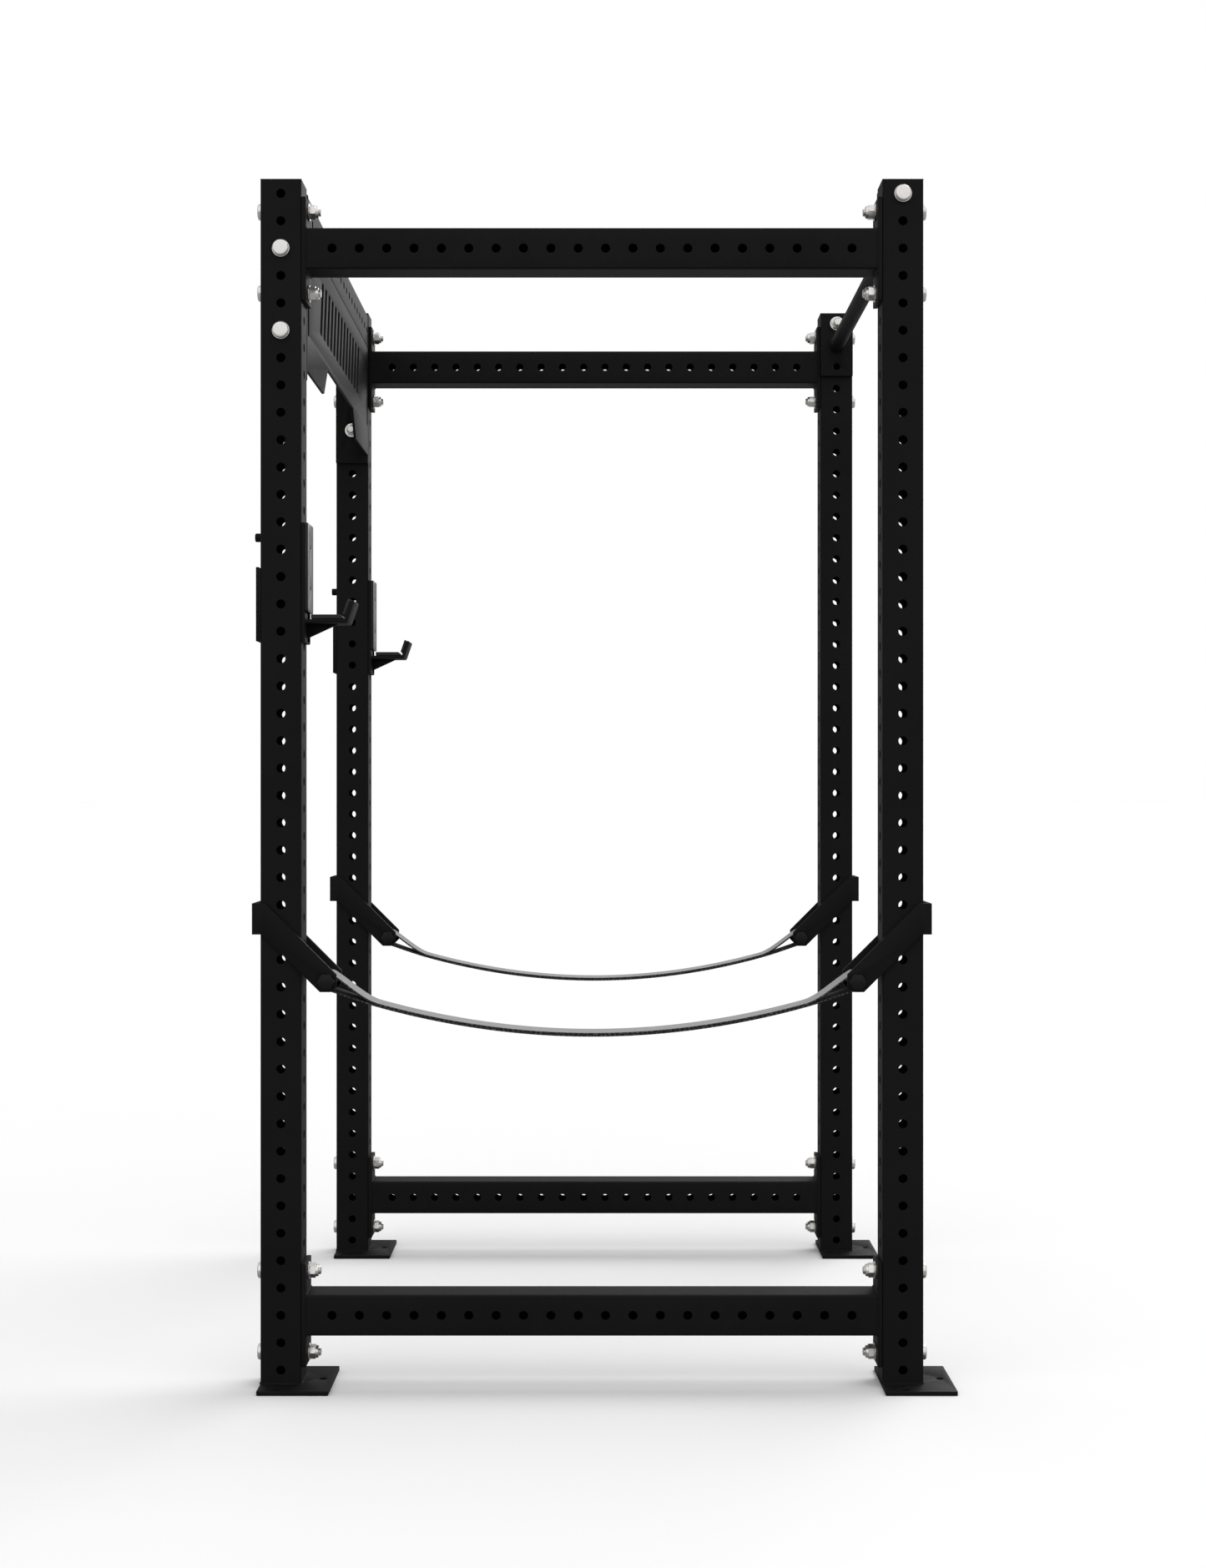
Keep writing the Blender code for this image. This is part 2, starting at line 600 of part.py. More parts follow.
def make_strap_brackets():
    """Four U-shaped brackets that sit over the uprights and carry the straps' cross bolts."""
    pin_z = hole_z(BRACKET_PIN_ROW)
    top = pin_z + BRACKET_HALF_HEIGHT
    bottom = pin_z - BRACKET_HALF_HEIGHT
    for end, way in ENDS.items():
        for side in SIDES:
            tag = f"{end}_{side}"
            y = upright_y(side)
            arm_y = HALF_TUBE + GAP + ARM / 2
            face = CAGE_X + way * (HALF_LENGTH + HALF_TUBE + GAP)
            outer = face + way * SADDLE
            place = Matrix.Translation((0, y - arm_y, 0)) @ ALONG_Y
            name = f"strap_bracket_{tag}"
            bracket = outline_solid(name, [arm_outline(way)], ARM, place, PARTS)
            place = Matrix.Translation((0, y + arm_y, 0)) @ ALONG_Y
            join(bracket, outline_solid(f"{name}_arm", [arm_outline(way)], ARM, place, CUTTERS))
            low = (min(face, outer), y - arm_y, bottom)
            high = (max(face, outer), y + arm_y, top)
            join(bracket, box(f"{name}_saddle", low, high, CUTTERS))
            pin_start = (face + way * SADDLE / 2, y, pin_z)
            pin_end = (face - way * SADDLE_PIN, y, pin_z)
            join(bracket, cylinder(f"{name}_pin", pin_start, pin_end, PIN_RADIUS, BOLT_SIDES, CUTTERS))
            bolt_x = CAGE_X + way * STRAP_BOLT_X
            drill = hole_cutters(f"{name}_drill", [(bolt_x, y, STRAP_BOLT_Z)], (0, 1, 0), TUBE)
            cut(bracket, drill)
            finish_material(bracket, POWDER)
            make_strap_bolt(tag, bolt_x, y)


def make_strap_bolt(tag, x, y):
    """The cross bolt and sleeve that a strap's loop hangs on: hex head on the left, hex nut on the right."""
    outer = HALF_TUBE + 2 * GAP + ARM
    nut_end = outer + STRAP_BOLT_NUT
    name = f"strap_bolt_{tag}"
    bolt = cylinder(name, (x, y - outer - STRAP_BOLT_HEAD / 2, STRAP_BOLT_Z),
                    (x, y + nut_end + STRAP_BOLT_END, STRAP_BOLT_Z), BOLT_RADIUS, BOLT_SIDES, PARTS)
    corner = STRAP_BOLT_FLATS / math.sqrt(3)
    head = cylinder(f"{name}_head", (x, y - outer - STRAP_BOLT_HEAD, STRAP_BOLT_Z), (x, y - outer, STRAP_BOLT_Z),
                    corner, 6, CUTTERS, math.radians(30))
    nut = cylinder(f"{name}_nut", (x, y + outer, STRAP_BOLT_Z), (x, y + nut_end, STRAP_BOLT_Z),
                   corner, 6, CUTTERS, math.radians(30))
    sleeve = cylinder(f"{name}_sleeve", (x, y - HALF_TUBE, STRAP_BOLT_Z), (x, y + HALF_TUBE, STRAP_BOLT_Z),
                      SLEEVE_RADIUS, SLEEVE_SIDES, CUTTERS)
    for tool in (head, nut, sleeve):
        join(bolt, tool)
    finish_material(bolt, BLACK_OXIDE)


def smooth_between(start, start_slope, finish, finish_slope, share):
    """A point on the cubic between two points with given slopes, at a share of the run."""
    run = finish.x - start.x
    rise = ((2 * share ** 3 - 3 * share ** 2 + 1) * start.y + (3 * share ** 2 - 2 * share ** 3) * finish.y
            + run * ((share ** 3 - 2 * share ** 2 + share) * start_slope + (share ** 3 - share ** 2) * finish_slope))
    return Vector((start.x + run * share, rise))


def ply_path(ply, lean, way, radius):
    """Centreline of one ply from the middle to its tangent on the loop; ply is 0 below and 1 above."""
    merge_x = STRAP_BOLT_X - STRAP_MERGE
    level = STRAP_LOW + STRAP_THICKNESS / 2 * (ply + 0.5)

    def hang(across):
        return Vector((across, level + STRAP_CURVE * across ** 2))

    tangent = Vector((STRAP_BOLT_X - way * radius * math.sin(lean), STRAP_BOLT_Z + way * radius * math.cos(lean)))
    points = [hang(merge_x * step / STRAP_STEPS) for step in range(STRAP_STEPS)]
    for step in range(LOOP_STEPS + 1):
        points.append(smooth_between(hang(merge_x), 2 * STRAP_CURVE * merge_x, tangent, math.tan(lean),
                                     step / LOOP_STEPS))
    return points


def strap_outlines():
    """Side outline of a strap with a loop at each end, then the two loops' eyes."""
    ply = STRAP_THICKNESS / 2
    radius = SLEEVE_RADIUS + GAP + ply / 2
    lower = ply_path(0, STRAP_LOWER_LEAN, -1, radius)
    upper = ply_path(1, STRAP_UPPER_LEAN, 1, radius)
    first = STRAP_LOWER_LEAN - math.pi / 2
    last = STRAP_UPPER_LEAN + math.pi / 2
    arc = []
    for step in range(1, ARC_STEPS):
        angle = first + (last - first) * step / ARC_STEPS
        arc.append(Vector((STRAP_BOLT_X + radius * math.cos(angle), STRAP_BOLT_Z + radius * math.sin(angle))))
    path = lower + arc + list(reversed(upper))
    outer = offset_path(path, ply / 2)
    inner = offset_path(path, -ply / 2)
    merged = STRAP_STEPS + EYE_STEPS
    outline = outer + [(-across, up) for across, up in reversed(outer)][1:-1]
    eye = inner[merged:len(inner) - merged]
    return [outline, eye, [(-across, up) for across, up in eye]]


def offset_path(path, distance):
    """Points beside a path, on its right-hand side."""
    result = []
    for number, point in enumerate(path):
        before = path[max(number - 1, 0)]
        after = path[min(number + 1, len(path) - 1)]
        along = (after - before).normalized()
        if number in (0, len(path) - 1):
            along = Vector((math.copysign(1.0, along.x), 0.0))
        result.append((point.x + along.y * distance, point.y - along.x * distance))
    return result


def make_straps():
    """The two webbing safety straps between the front and rear brackets."""
    for side in SIDES:
        place = Matrix.Translation((CAGE_X, upright_y(side), 0)) @ ALONG_Y
        strap = outline_solid(f"safety_strap_{side}", strap_outlines(), STRAP_WIDTH, place, PARTS)
        finish_material(strap, WEBBING)


make_uprights()
make_crossmembers()
make_header()
make_pull_up_bar()
make_bolts()
make_j_hooks()
make_strap_brackets()
make_straps()
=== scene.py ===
"""Looks for the power cage: fine steelwork, hardware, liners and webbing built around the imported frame.

Everything is in metres in the frame's own axes: -X is the front, -Y the left side, +Z up.
"""
import json
import math

import bmesh
import bpy
from mathutils import Matrix, Vector


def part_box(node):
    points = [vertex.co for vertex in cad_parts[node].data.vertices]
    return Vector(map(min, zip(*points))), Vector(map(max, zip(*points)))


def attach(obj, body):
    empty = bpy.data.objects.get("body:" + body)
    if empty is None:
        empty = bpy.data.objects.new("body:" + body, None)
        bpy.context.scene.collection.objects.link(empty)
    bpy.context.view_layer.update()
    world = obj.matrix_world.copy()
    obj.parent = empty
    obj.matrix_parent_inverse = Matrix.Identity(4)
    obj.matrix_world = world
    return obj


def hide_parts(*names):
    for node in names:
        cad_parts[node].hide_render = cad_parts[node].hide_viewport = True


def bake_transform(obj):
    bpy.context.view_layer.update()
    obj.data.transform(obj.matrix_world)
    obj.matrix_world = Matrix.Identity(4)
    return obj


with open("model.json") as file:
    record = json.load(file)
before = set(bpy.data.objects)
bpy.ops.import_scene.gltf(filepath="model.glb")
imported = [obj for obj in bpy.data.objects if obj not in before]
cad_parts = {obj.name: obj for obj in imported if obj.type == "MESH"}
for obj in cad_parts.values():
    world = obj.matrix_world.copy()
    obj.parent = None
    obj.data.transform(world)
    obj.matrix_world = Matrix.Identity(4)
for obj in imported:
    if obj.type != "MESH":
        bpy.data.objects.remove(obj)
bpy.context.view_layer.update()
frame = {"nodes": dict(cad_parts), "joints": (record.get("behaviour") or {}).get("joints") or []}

SIDES = {"left": -1, "right": 1}
ENDS = {"front": -1, "rear": 1}

# Driving sizes, read from the frame where it has them
PITCH = 0.050
GAP = 0.0003
POST_LOW, POST_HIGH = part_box("upright_front_left")
TUBE = POST_HIGH[0] - POST_LOW[0]
FOOT_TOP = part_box("foot_plate_front_left")[1][2]
WALL = 0.003
CORNER = 0.0035
HOLE = 0.0083
CHAMFER = 0.0004
FLANGE = 0.008
EDGE = 0.0008
WELD_PROUD = 0.0006

# Mesh resolution
COLUMNS = 6
CORNER_STEPS = 4
WELD_STEPS = 6
TURN_STEPS = 48
WELD_DISTANCE = 0.00001
SHARP = math.radians(32)

# Frames that stand a shape drawn flat (across, up, out) in the cage's axes
ALONG_X = Matrix(((0, 0, 1, 0), (1, 0, 0, 0), (0, 1, 0, 0), (0, 0, 0, 1)))
ALONG_Y = Matrix(((1, 0, 0, 0), (0, 0, -1, 0), (0, 1, 0, 0), (0, 0, 0, 1)))
FLAT = Matrix.Identity(4)


def middle(node):
    """Centre of a CAD node's box."""
    low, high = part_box(node)
    return (Vector(low) + Vector(high)) / 2


CAGE_X = (middle("upright_front_left").x + middle("upright_rear_left").x) / 2


# ---------------------------------------------------------------- materials

def node_material(name, roughness, metallic=0.0):
    """An empty node material and its Principled shader."""
    material = bpy.data.materials.new(name)
    material.use_nodes = True
    shader = material.node_tree.nodes["Principled BSDF"]
    shader.inputs["Roughness"].default_value = roughness
    shader.inputs["Metallic"].default_value = metallic
    return material, shader


def add_node(material, kind, inputs=None, **settings):
    """A node with its settings and input values."""
    node = material.node_tree.nodes.new(kind)
    for key, value in settings.items():
        setattr(node, key, value)
    for key, value in (inputs or {}).items():
        node.inputs[key].default_value = value
    return node


def link(material, start, end):
    material.node_tree.links.new(start, end)


def noise(material, coordinates, scale, detail=3.0, roughness=0.5):
    """A noise texture's value."""
    node = add_node(material, "ShaderNodeTexNoise",
                    {"Scale": scale, "Detail": detail, "Roughness": roughness})
    link(material, coordinates, node.inputs["Vector"])
    return node.outputs["Fac"]


def ramp(material, value, stops):
    """A colour ramp through (position, grey or colour) stops."""
    node = add_node(material, "ShaderNodeValToRGB")
    elements = node.color_ramp.elements
    while len(elements) < len(stops):
        elements.new(0.5)
    for element, (position, colour) in zip(elements, stops):
        element.position = position
        element.color = (*colour, 1.0) if hasattr(colour, "__len__") else (colour, colour, colour, 1.0)
    link(material, value, node.inputs["Fac"])
    return node.outputs["Color"]


def between(material, shader, socket, value, first, second, low=0.3, high=0.7):
    """Take a shader's socket from one colour or number to another as a texture goes from low to high."""
    link(material, ramp(material, value, [(low, first), (high, second)]), shader.inputs[socket])


def bump(material, shader, height, strength, distance, below=None):
    """Feed a height into the shader's normal."""
    node = add_node(material, "ShaderNodeBump", {"Strength": strength, "Distance": distance})
    link(material, height, node.inputs["Height"])
    if below is not None:
        link(material, below, node.inputs["Normal"])
    link(material, node.outputs["Normal"], shader.inputs["Normal"])
    return node.outputs["Normal"]


def object_coordinates(material):
    return add_node(material, "ShaderNodeTexCoord").outputs["Object"]


def make_powder_coat():
    """Fine-textured black powder coat: dark, satin, with a pebbled surface."""
    material, shader = node_material("powder_coat_black", 0.5)
    shader.inputs["Specular IOR Level"].default_value = 0.10
    where = object_coordinates(material)
    drift = noise(material, where, 6.0, 4.0)
    grain = noise(material, where, 850.0, 2.0)
    between(material, shader, "Base Color", drift, (0.0055, 0.0055, 0.0060), (0.0080, 0.0080, 0.0085))
    between(material, shader, "Roughness", grain, 0.50, 0.68, 0.25, 0.75)
    pebbles = noise(material, where, 420.0, 1.0)
    below = bump(material, shader, pebbles, 0.25, 0.0006)
    bump(material, shader, grain, 0.35, 0.0003, below)
    return material


def make_zinc():
    """Bright zinc plate with faint mottling."""
    material, shader = node_material("bright_zinc", 0.28, 0.75)
    where = object_coordinates(material)
    mottle = noise(material, where, 160.0, 4.0)
    between(material, shader, "Base Color", mottle, (0.72, 0.70, 0.675), (0.81, 0.79, 0.765))
    between(material, shader, "Roughness", mottle, 0.16, 0.28)
    bump(material, shader, noise(material, where, 1400.0, 2.0), 0.12, 0.0002)
    return material


def make_black_oxide():
    """Dull black oxide on the hardware."""
    material, shader = node_material("black_oxide", 0.42)
    shader.inputs["Specular IOR Level"].default_value = 0.15
    where = object_coordinates(material)
    mottle = noise(material, where, 220.0, 4.0)
    between(material, shader, "Base Color", mottle, (0.006, 0.006, 0.0065), (0.009, 0.009, 0.0095))
    between(material, shader, "Roughness", mottle, 0.32, 0.48)
    bump(material, shader, noise(material, where, 1200.0, 2.0), 0.15, 0.0002)
    return material


def make_liner_plastic():
    """Black wear-resistant plastic with fine planing marks."""
    material, shader = node_material("liner_plastic", 0.42)
    shader.inputs["Specular IOR Level"].default_value = 0.25
    where = object_coordinates(material)
    stretch = add_node(material, "ShaderNodeMapping", {"Scale": (1.0, 0.04, 1.0)})
    link(material, where, stretch.inputs["Vector"])
    marks = noise(material, stretch.outputs["Vector"], 900.0, 3.0)
    haze = noise(material, where, 60.0, 4.0)
    between(material, shader, "Base Color", haze, (0.007, 0.007, 0.0075), (0.012, 0.012, 0.0125))
    between(material, shader, "Roughness", marks, 0.26, 0.36)
    bump(material, shader, marks, 0.10, 0.0002)
    return material


def make_nylon():
    """The locking ring inside a nut."""
    material, shader = node_material("nylon_ring", 0.45)
    where = object_coordinates(material)
    haze = noise(material, where, 500.0, 3.0)
    between(material, shader, "Base Color", haze, (0.45, 0.45, 0.44), (0.58, 0.58, 0.56))
    bump(material, shader, haze, 0.1, 0.0002)
    return material


WARP = 0.0016
WEFT = 0.0022
DASH = 0.0085
DASH_ROW = 0.0011


def make_webbing():
    """Woven grey webbing: ribs along the strap and picks across it, from its own length and width; its
    colour is darker in the weave's low points, which is painted shade.
    """
    material, shader = node_material("webbing_face", 0.85)
    place = add_node(material, "ShaderNodeUVMap").outputs["UV"]
    split = add_node(material, "ShaderNodeSeparateXYZ")
    link(material, place, split.inputs["Vector"])
    ribs = wave(material, split.outputs["X"], WARP)
    picks = wave(material, split.outputs["Y"], WEFT)
    weave = calculate(material, "MULTIPLY", ribs, picks)
    fuzz = noise(material, object_coordinates(material), 700.0, 3.0)
    height = calculate(material, "ADD", weave, calculate(material, "MULTIPLY", fuzz, 0.5))
    # Base colour follows the weave's height plus fuzz: the darkening in the weave's low points is painted
    # shade, while the fuzz is random tone.
    between(material, shader, "Base Color", height, (0.20, 0.20, 0.205), (0.36, 0.36, 0.365), 0.1, 0.9)
    shader.inputs["Sheen Weight"].default_value = 0.25
    shader.inputs["Sheen Roughness"].default_value = 0.5
    bump(material, shader, height, 0.6, 0.0005)
    return material


def make_webbing_edge():
    """The webbing's selvedge and inner face: black yarn, with short grey dashes along the selvedge."""
    material, shader = node_material("webbing_edge", 0.8)
    place = add_node(material, "ShaderNodeUVMap").outputs["UV"]
    split = add_node(material, "ShaderNodeSeparateXYZ")
    link(material, place, split.inputs["Vector"])
    where = object_coordinates(material)
    wander = calculate(material, "MULTIPLY", noise(material, where, 90.0, 3.0), 0.020)
    along = calculate(material, "ADD", split.outputs["Y"], wander)
    dashes = calculate(material, "MULTIPLY", wave(material, along, DASH), 0.6)
    fuzz = noise(material, where, 500.0, 3.0)
    mixed = calculate(material, "ADD", dashes, calculate(material, "MULTIPLY", fuzz, 0.5))
    off_middle = calculate(material, "ABSOLUTE", split.outputs["X"], 0.0)
    middle_row = calculate(material, "LESS_THAN", off_middle, DASH_ROW)
    shown = calculate(material, "MULTIPLY", mixed, middle_row)
    between(material, shader, "Base Color", shown, (0.006, 0.006, 0.007), (0.13, 0.13, 0.14), 0.64, 0.86)
    bump(material, shader, wave(material, split.outputs["Y"], WEFT), 0.6, 0.0005)
    return material


def calculate(material, operation, first, second):
    """A math node on two sockets or numbers."""
    node = add_node(material, "ShaderNodeMath", operation=operation)
    for socket, value in zip(node.inputs, (first, second)):
        if isinstance(value, (int, float)):
            socket.default_value = value
        else:
            link(material, value, socket)
    return node.outputs["Value"]


def wave(material, length, period):
    """A smooth 0 to 1 ripple along a length in metres."""
    turns = calculate(material, "MULTIPLY", length, 2 * math.pi / period)
    swing = calculate(material, "SINE", turns, 0.0)
    return calculate(material, "MULTIPLY", calculate(material, "ADD", swing, 1.0), 0.5)


POWDER = make_powder_coat()
ZINC = make_zinc()
BLACK_OXIDE = make_black_oxide()
PLASTIC = make_liner_plastic()
NYLON = make_nylon()
WEBBING = make_webbing()
WEBBING_EDGE = make_webbing_edge()


# ---------------------------------------------------------------- mesh tools

def finished(work, name):
    """A mesh from a bmesh: welded, facing out, smooth with sharp edges kept."""
    bmesh.ops.remove_doubles(work, verts=work.verts, dist=WELD_DISTANCE)
    bmesh.ops.recalc_face_normals(work, faces=work.faces)
    mesh = bpy.data.meshes.new(name)
    work.to_mesh(mesh)
    work.free()
    mesh.shade_smooth()
    mesh.set_sharp_from_angle(angle=SHARP)
    return mesh


def add_face(work, points, material_index=0):
    face = work.faces.new([work.verts.new(point) for point in points])
    face.material_index = material_index
    return face


def joined(name, parts):
    """One mesh from (mesh, matrix) pairs."""
    work = bmesh.new()
    for mesh, place in parts:
        copy = mesh.copy()
        copy.transform(place)
        work.from_mesh(copy)
        bpy.data.meshes.remove(copy)
    mesh = bpy.data.meshes.new(name)
    work.to_mesh(mesh)
    work.free()
    return mesh


def added(name, data):
    """A new object in the scene."""
    obj = bpy.data.objects.new(name, data)
    bpy.context.scene.collection.objects.link(obj)
    return obj


def piece(name, mesh, materials, body, nodes=(), place=FLAT):
    """A visible piece on a body, with its materials, standing for some CAD nodes."""
    obj = added(name, mesh)
    obj.matrix_world = place
    if not mesh.materials:
        for material in materials:
            mesh.materials.append(material)
    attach(obj, body)
    if nodes:
        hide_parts(*nodes)
    return obj


def curve_mesh(curve, name):
    """The mesh of a curve, welded, with smooth shading and sharp edges kept."""
    source = added(name, curve)
    graph = bpy.context.evaluated_depsgraph_get()
    mesh = bpy.data.meshes.new_from_object(source.evaluated_get(graph))
    bpy.data.objects.remove(source)
    bpy.data.curves.remove(curve)
    work = bmesh.new()
    work.from_mesh(mesh)
    bpy.data.meshes.remove(mesh)
    return finished(work, name)


def plate(name, outlines, thickness, edge, place):
    """A flat plate from outlines, first the rim and then its holes, with its edges eased."""
    curve = bpy.data.curves.new(name, "CURVE")
    curve.dimensions = "2D"
    curve.fill_mode = "BOTH"
    curve.extrude = thickness / 2 - edge
    curve.bevel_depth = edge
    curve.bevel_resolution = 1
    curve.offset = -edge
    for outline in outlines:
        spline = curve.splines.new("POLY")
        spline.points.add(len(outline) - 1)
        for point, (across, up) in zip(spline.points, outline):
            point.co = (across, up, 0.0, 1.0)
        spline.use_cyclic_u = True
    mesh = curve_mesh(curve, name)
    mesh.transform(place)
    return mesh


def rod(name, points, radius, cyclic=False, sides=2, ripple=None):
    """A round bar or weld bead along points, with an optional change of radius along it."""
    curve = bpy.data.curves.new(name, "CURVE")
    curve.dimensions = "3D"
    curve.bevel_depth = radius
    curve.bevel_resolution = sides
    curve.use_fill_caps = True
    spline = curve.splines.new("POLY")
    spline.points.add(len(points) - 1)
    for number, (point, co) in enumerate(zip(spline.points, points)):
        point.co = (*co, 1.0)
        if ripple is not None:
            point.radius = ripple(number)
    spline.use_cyclic_u = cyclic
    return curve_mesh(curve, name)


def rounded(points, radius, steps=5):
    """A polygon with its corners rounded; radius is one number or one for each corner."""
    radii = radius if hasattr(radius, "__len__") else [radius] * len(points)
    result = []
    count = len(points)
    for number in range(count):
        corner = Vector(points[number])
        if radii[number] <= 0:
            result.append(tuple(corner))
            continue
        before = (Vector(points[number - 1]) - corner).normalized()
        after = (Vector(points[(number + 1) % count]) - corner).normalized()
        half = before.angle(after) / 2
        centre = corner + (before + after).normalized() * radii[number] / math.sin(half)
        start = corner + before * radii[number] / math.tan(half) - centre
        finish = corner + after * radii[number] / math.tan(half) - centre
        first = math.atan2(start.y, start.x)
        sweep = math.remainder(math.atan2(finish.y, finish.x) - first, 2 * math.pi)
        for step in range(steps + 1):
            angle = first + sweep * step / steps
            result.append((centre.x + radii[number] * math.cos(angle),
                           centre.y + radii[number] * math.sin(angle)))
    return result


def circle(centre, radius, steps=32):
    return [(centre[0] + radius * math.cos(2 * math.pi * step / steps),
             centre[1] + radius * math.sin(2 * math.pi * step / steps)) for step in range(steps)]


def rectangle(low, high):
    return [(low[0], low[1]), (high[0], low[1]), (high[0], high[1]), (low[0], high[1])]


# ---------------------------------------------------------------- perforated tube

def add_hole_cell(work, point, across, heights):
    """The wall round one hole: outer face, chamfer, hole wall and inner face."""
    last = COLUMNS
    boundary = [(across[last - step], heights[last]) for step in range(last)]
    boundary += [(across[0], heights[last - step]) for step in range(last)]
    boundary += [(across[step], heights[0]) for step in range(last)]
    boundary += [(across[last], heights[step]) for step in range(last)]
    count = len(boundary)
    centre = heights[last // 2]

    def ring(radius):
        angles = [math.radians(45 + 360 * step / count) for step in range(count)]
        return [(radius * math.cos(angle), centre + radius * math.sin(angle)) for angle in angles]

    rings = [(boundary, 0.0), (ring(HOLE + CHAMFER), 0.0), (ring(HOLE), CHAMFER),
             (ring(HOLE), WALL), (boundary, WALL)]
    for (first, first_depth), (second, second_depth) in zip(rings, rings[1:]):
        for step in range(count):
            after = (step + 1) % count
            add_face(work, [point(*first[step], first_depth), point(*first[after], first_depth),
                            point(*second[after], second_depth), point(*second[step], second_depth)])


def perforated_tube(name, heights, holes_x, holes_y):
    """A square tube along Z through a list of heights, with a hole centred on each listed height number."""
    work = bmesh.new()
    flat = TUBE / 2 - CORNER
    across = [flat * (2 * column / COLUMNS - 1) for column in range(COLUMNS + 1)]
    reach = COLUMNS // 2
    for quarter in range(4):
        turn = Matrix.Rotation(math.radians(90 * quarter), 4, "Z")

        def point(side, height, depth):
            return turn @ Vector((TUBE / 2 - depth, side, height))

        covered = set()
        for centre in holes_y if quarter % 2 else holes_x:
            covered.update(range(centre - reach, centre + reach))
            add_hole_cell(work, point, across, heights[centre - reach:centre + reach + 1])
        for level in range(len(heights) - 1):
            low = heights[level]
            high = heights[level + 1]
            if level not in covered:
                for left, right in zip(across, across[1:]):
                    for depth in (0.0, WALL):
                        add_face(work, [point(left, low, depth), point(right, low, depth),
                                        point(right, high, depth), point(left, high, depth)])
            add_corner(work, turn, flat, low, high)
        for height in (heights[0], heights[-1]):
            for left, right in zip(across, across[1:]):
                add_face(work, [point(left, height, 0.0), point(right, height, 0.0),
                                point(right, height, WALL), point(left, height, WALL)])
            add_corner_rim(work, turn, flat, height)
    return finished(work, name)


def corner_point(turn, flat, radius, step, height):
    angle = math.radians(90 * step / CORNER_STEPS)
    return turn @ Vector((flat + radius * math.cos(angle), flat + radius * math.sin(angle), height))


def add_corner(work, turn, flat, low, high):
    """The rounded corner of a tube, outside and inside, between two heights."""
    for radius in (CORNER, CORNER - WALL):
        for step in range(CORNER_STEPS):
            add_face(work, [corner_point(turn, flat, radius, step, low),
                            corner_point(turn, flat, radius, step + 1, low),
                            corner_point(turn, flat, radius, step + 1, high),
                            corner_point(turn, flat, radius, step, high)])


def add_corner_rim(work, turn, flat, height):
    for step in range(CORNER_STEPS):
        add_face(work, [corner_point(turn, flat, CORNER, step, height),
                        corner_point(turn, flat, CORNER, step + 1, height),
                        corner_point(turn, flat, CORNER - WALL, step + 1, height),
                        corner_point(turn, flat, CORNER - WALL, step, height)])


def tube_outline(grow):
    """Outline of the tube's section, grown outwards."""
    half = TUBE / 2 + grow
    return rounded(rectangle((-half, -half), (half, half)), CORNER + grow, WELD_STEPS)


BEAD = 0.0016
BEAD_STEP = 0.0016


def bead(name, outline, place, cyclic=True):
    """A rippled weld bead along an outline, laid in a plane."""
    points = []
    ends = outline[1:] + outline[:1] if cyclic else outline[1:]
    for start, end in zip(outline, ends):
        start = Vector(start)
        end = Vector(end)
        count = max(1, round((end - start).length / BEAD_STEP))
        points += [place @ (start.lerp(end, step / count)).to_3d() for step in range(count)]
    return rod(name, points, BEAD, cyclic, 2, lambda number: 1.0 + 0.10 * math.cos(math.pi * number))


# ---------------------------------------------------------------- uprights and feet

def make_uprights():
    """Four perforated uprights that share one mesh, with a weld bead round each foot."""
    steps = round((POST_HIGH[2] - FOOT_TOP) / PITCH) * COLUMNS
    heights = [FOOT_TOP + PITCH * step / COLUMNS for step in range(steps + 1)]
    holes_y = range(COLUMNS // 2, steps, COLUMNS)
    holes_x = range(COLUMNS, steps, COLUMNS)
    mesh = perforated_tube("upright_mesh", heights, list(holes_x), list(holes_y))
    foot = Matrix.Translation((0, 0, FOOT_TOP))
    weld = bead("foot_weld", tube_outline(WELD_PROUD), foot)
    for end in ENDS:
        for side in SIDES:
            node = f"upright_{end}_{side}"
            centre = middle(node)
            place = Matrix.Translation((centre.x, centre.y, 0))
            piece(f"{node}_tube", mesh, [POWDER], "root", [node], place)
            piece(f"{node}_foot_weld", weld, [POWDER], "root", (), place)
            make_foot_plate(end, side, centre)


ANCHOR = 0.0070
ANCHOR_OFFSET = 0.035
FOOT_CORNER = 0.003


def make_foot_plate(end, side, centre):
    """A base plate with three drilled anchor holes."""
    node = f"foot_plate_{end}_{side}"
    low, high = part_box(node)
    offset = TUBE / 2 + ANCHOR_OFFSET
    places = [(centre.x, centre.y - offset), (centre.x, centre.y + offset), (centre.x + offset, centre.y)]
    outlines = [rounded(rectangle(low, high), FOOT_CORNER)] + [circle(spot, ANCHOR) for spot in places]
    thickness = high[2] - low[2]
    mesh = plate(f"{node}_mesh", outlines, thickness, EDGE, Matrix.Translation((0, 0, thickness / 2)))
    piece(f"{node}_plate", mesh, [POWDER], "root", [node])


# ---------------------------------------------------------------- members

MEMBER_HOLES = 20
HEADER_HOLES = 21
TOP_HOLE = POST_HIGH[2] - PITCH / 2
HEADER_ROWS = (2, 5)
PULL_UP_ROWS = (0, 2)


def end_flange(name, low, high, holes, axis):
    """A flange plate with drilled holes, standing across the X or Y axis between two corners."""
    across = 1 if axis == 0 else 0
    outline = rounded(rectangle((low[across], low[2]), (high[across], high[2])), 0.002)
    outlines = [outline] + [circle(hole, HOLE) for hole in holes]
    centre = (low[axis] + high[axis]) / 2
    if axis == 0:
        place = Matrix.Translation((centre, 0, 0)) @ ALONG_X
    else:
        place = Matrix.Translation((0, centre, 0)) @ ALONG_Y
    return plate(name, outlines, high[axis] - low[axis], EDGE, place)


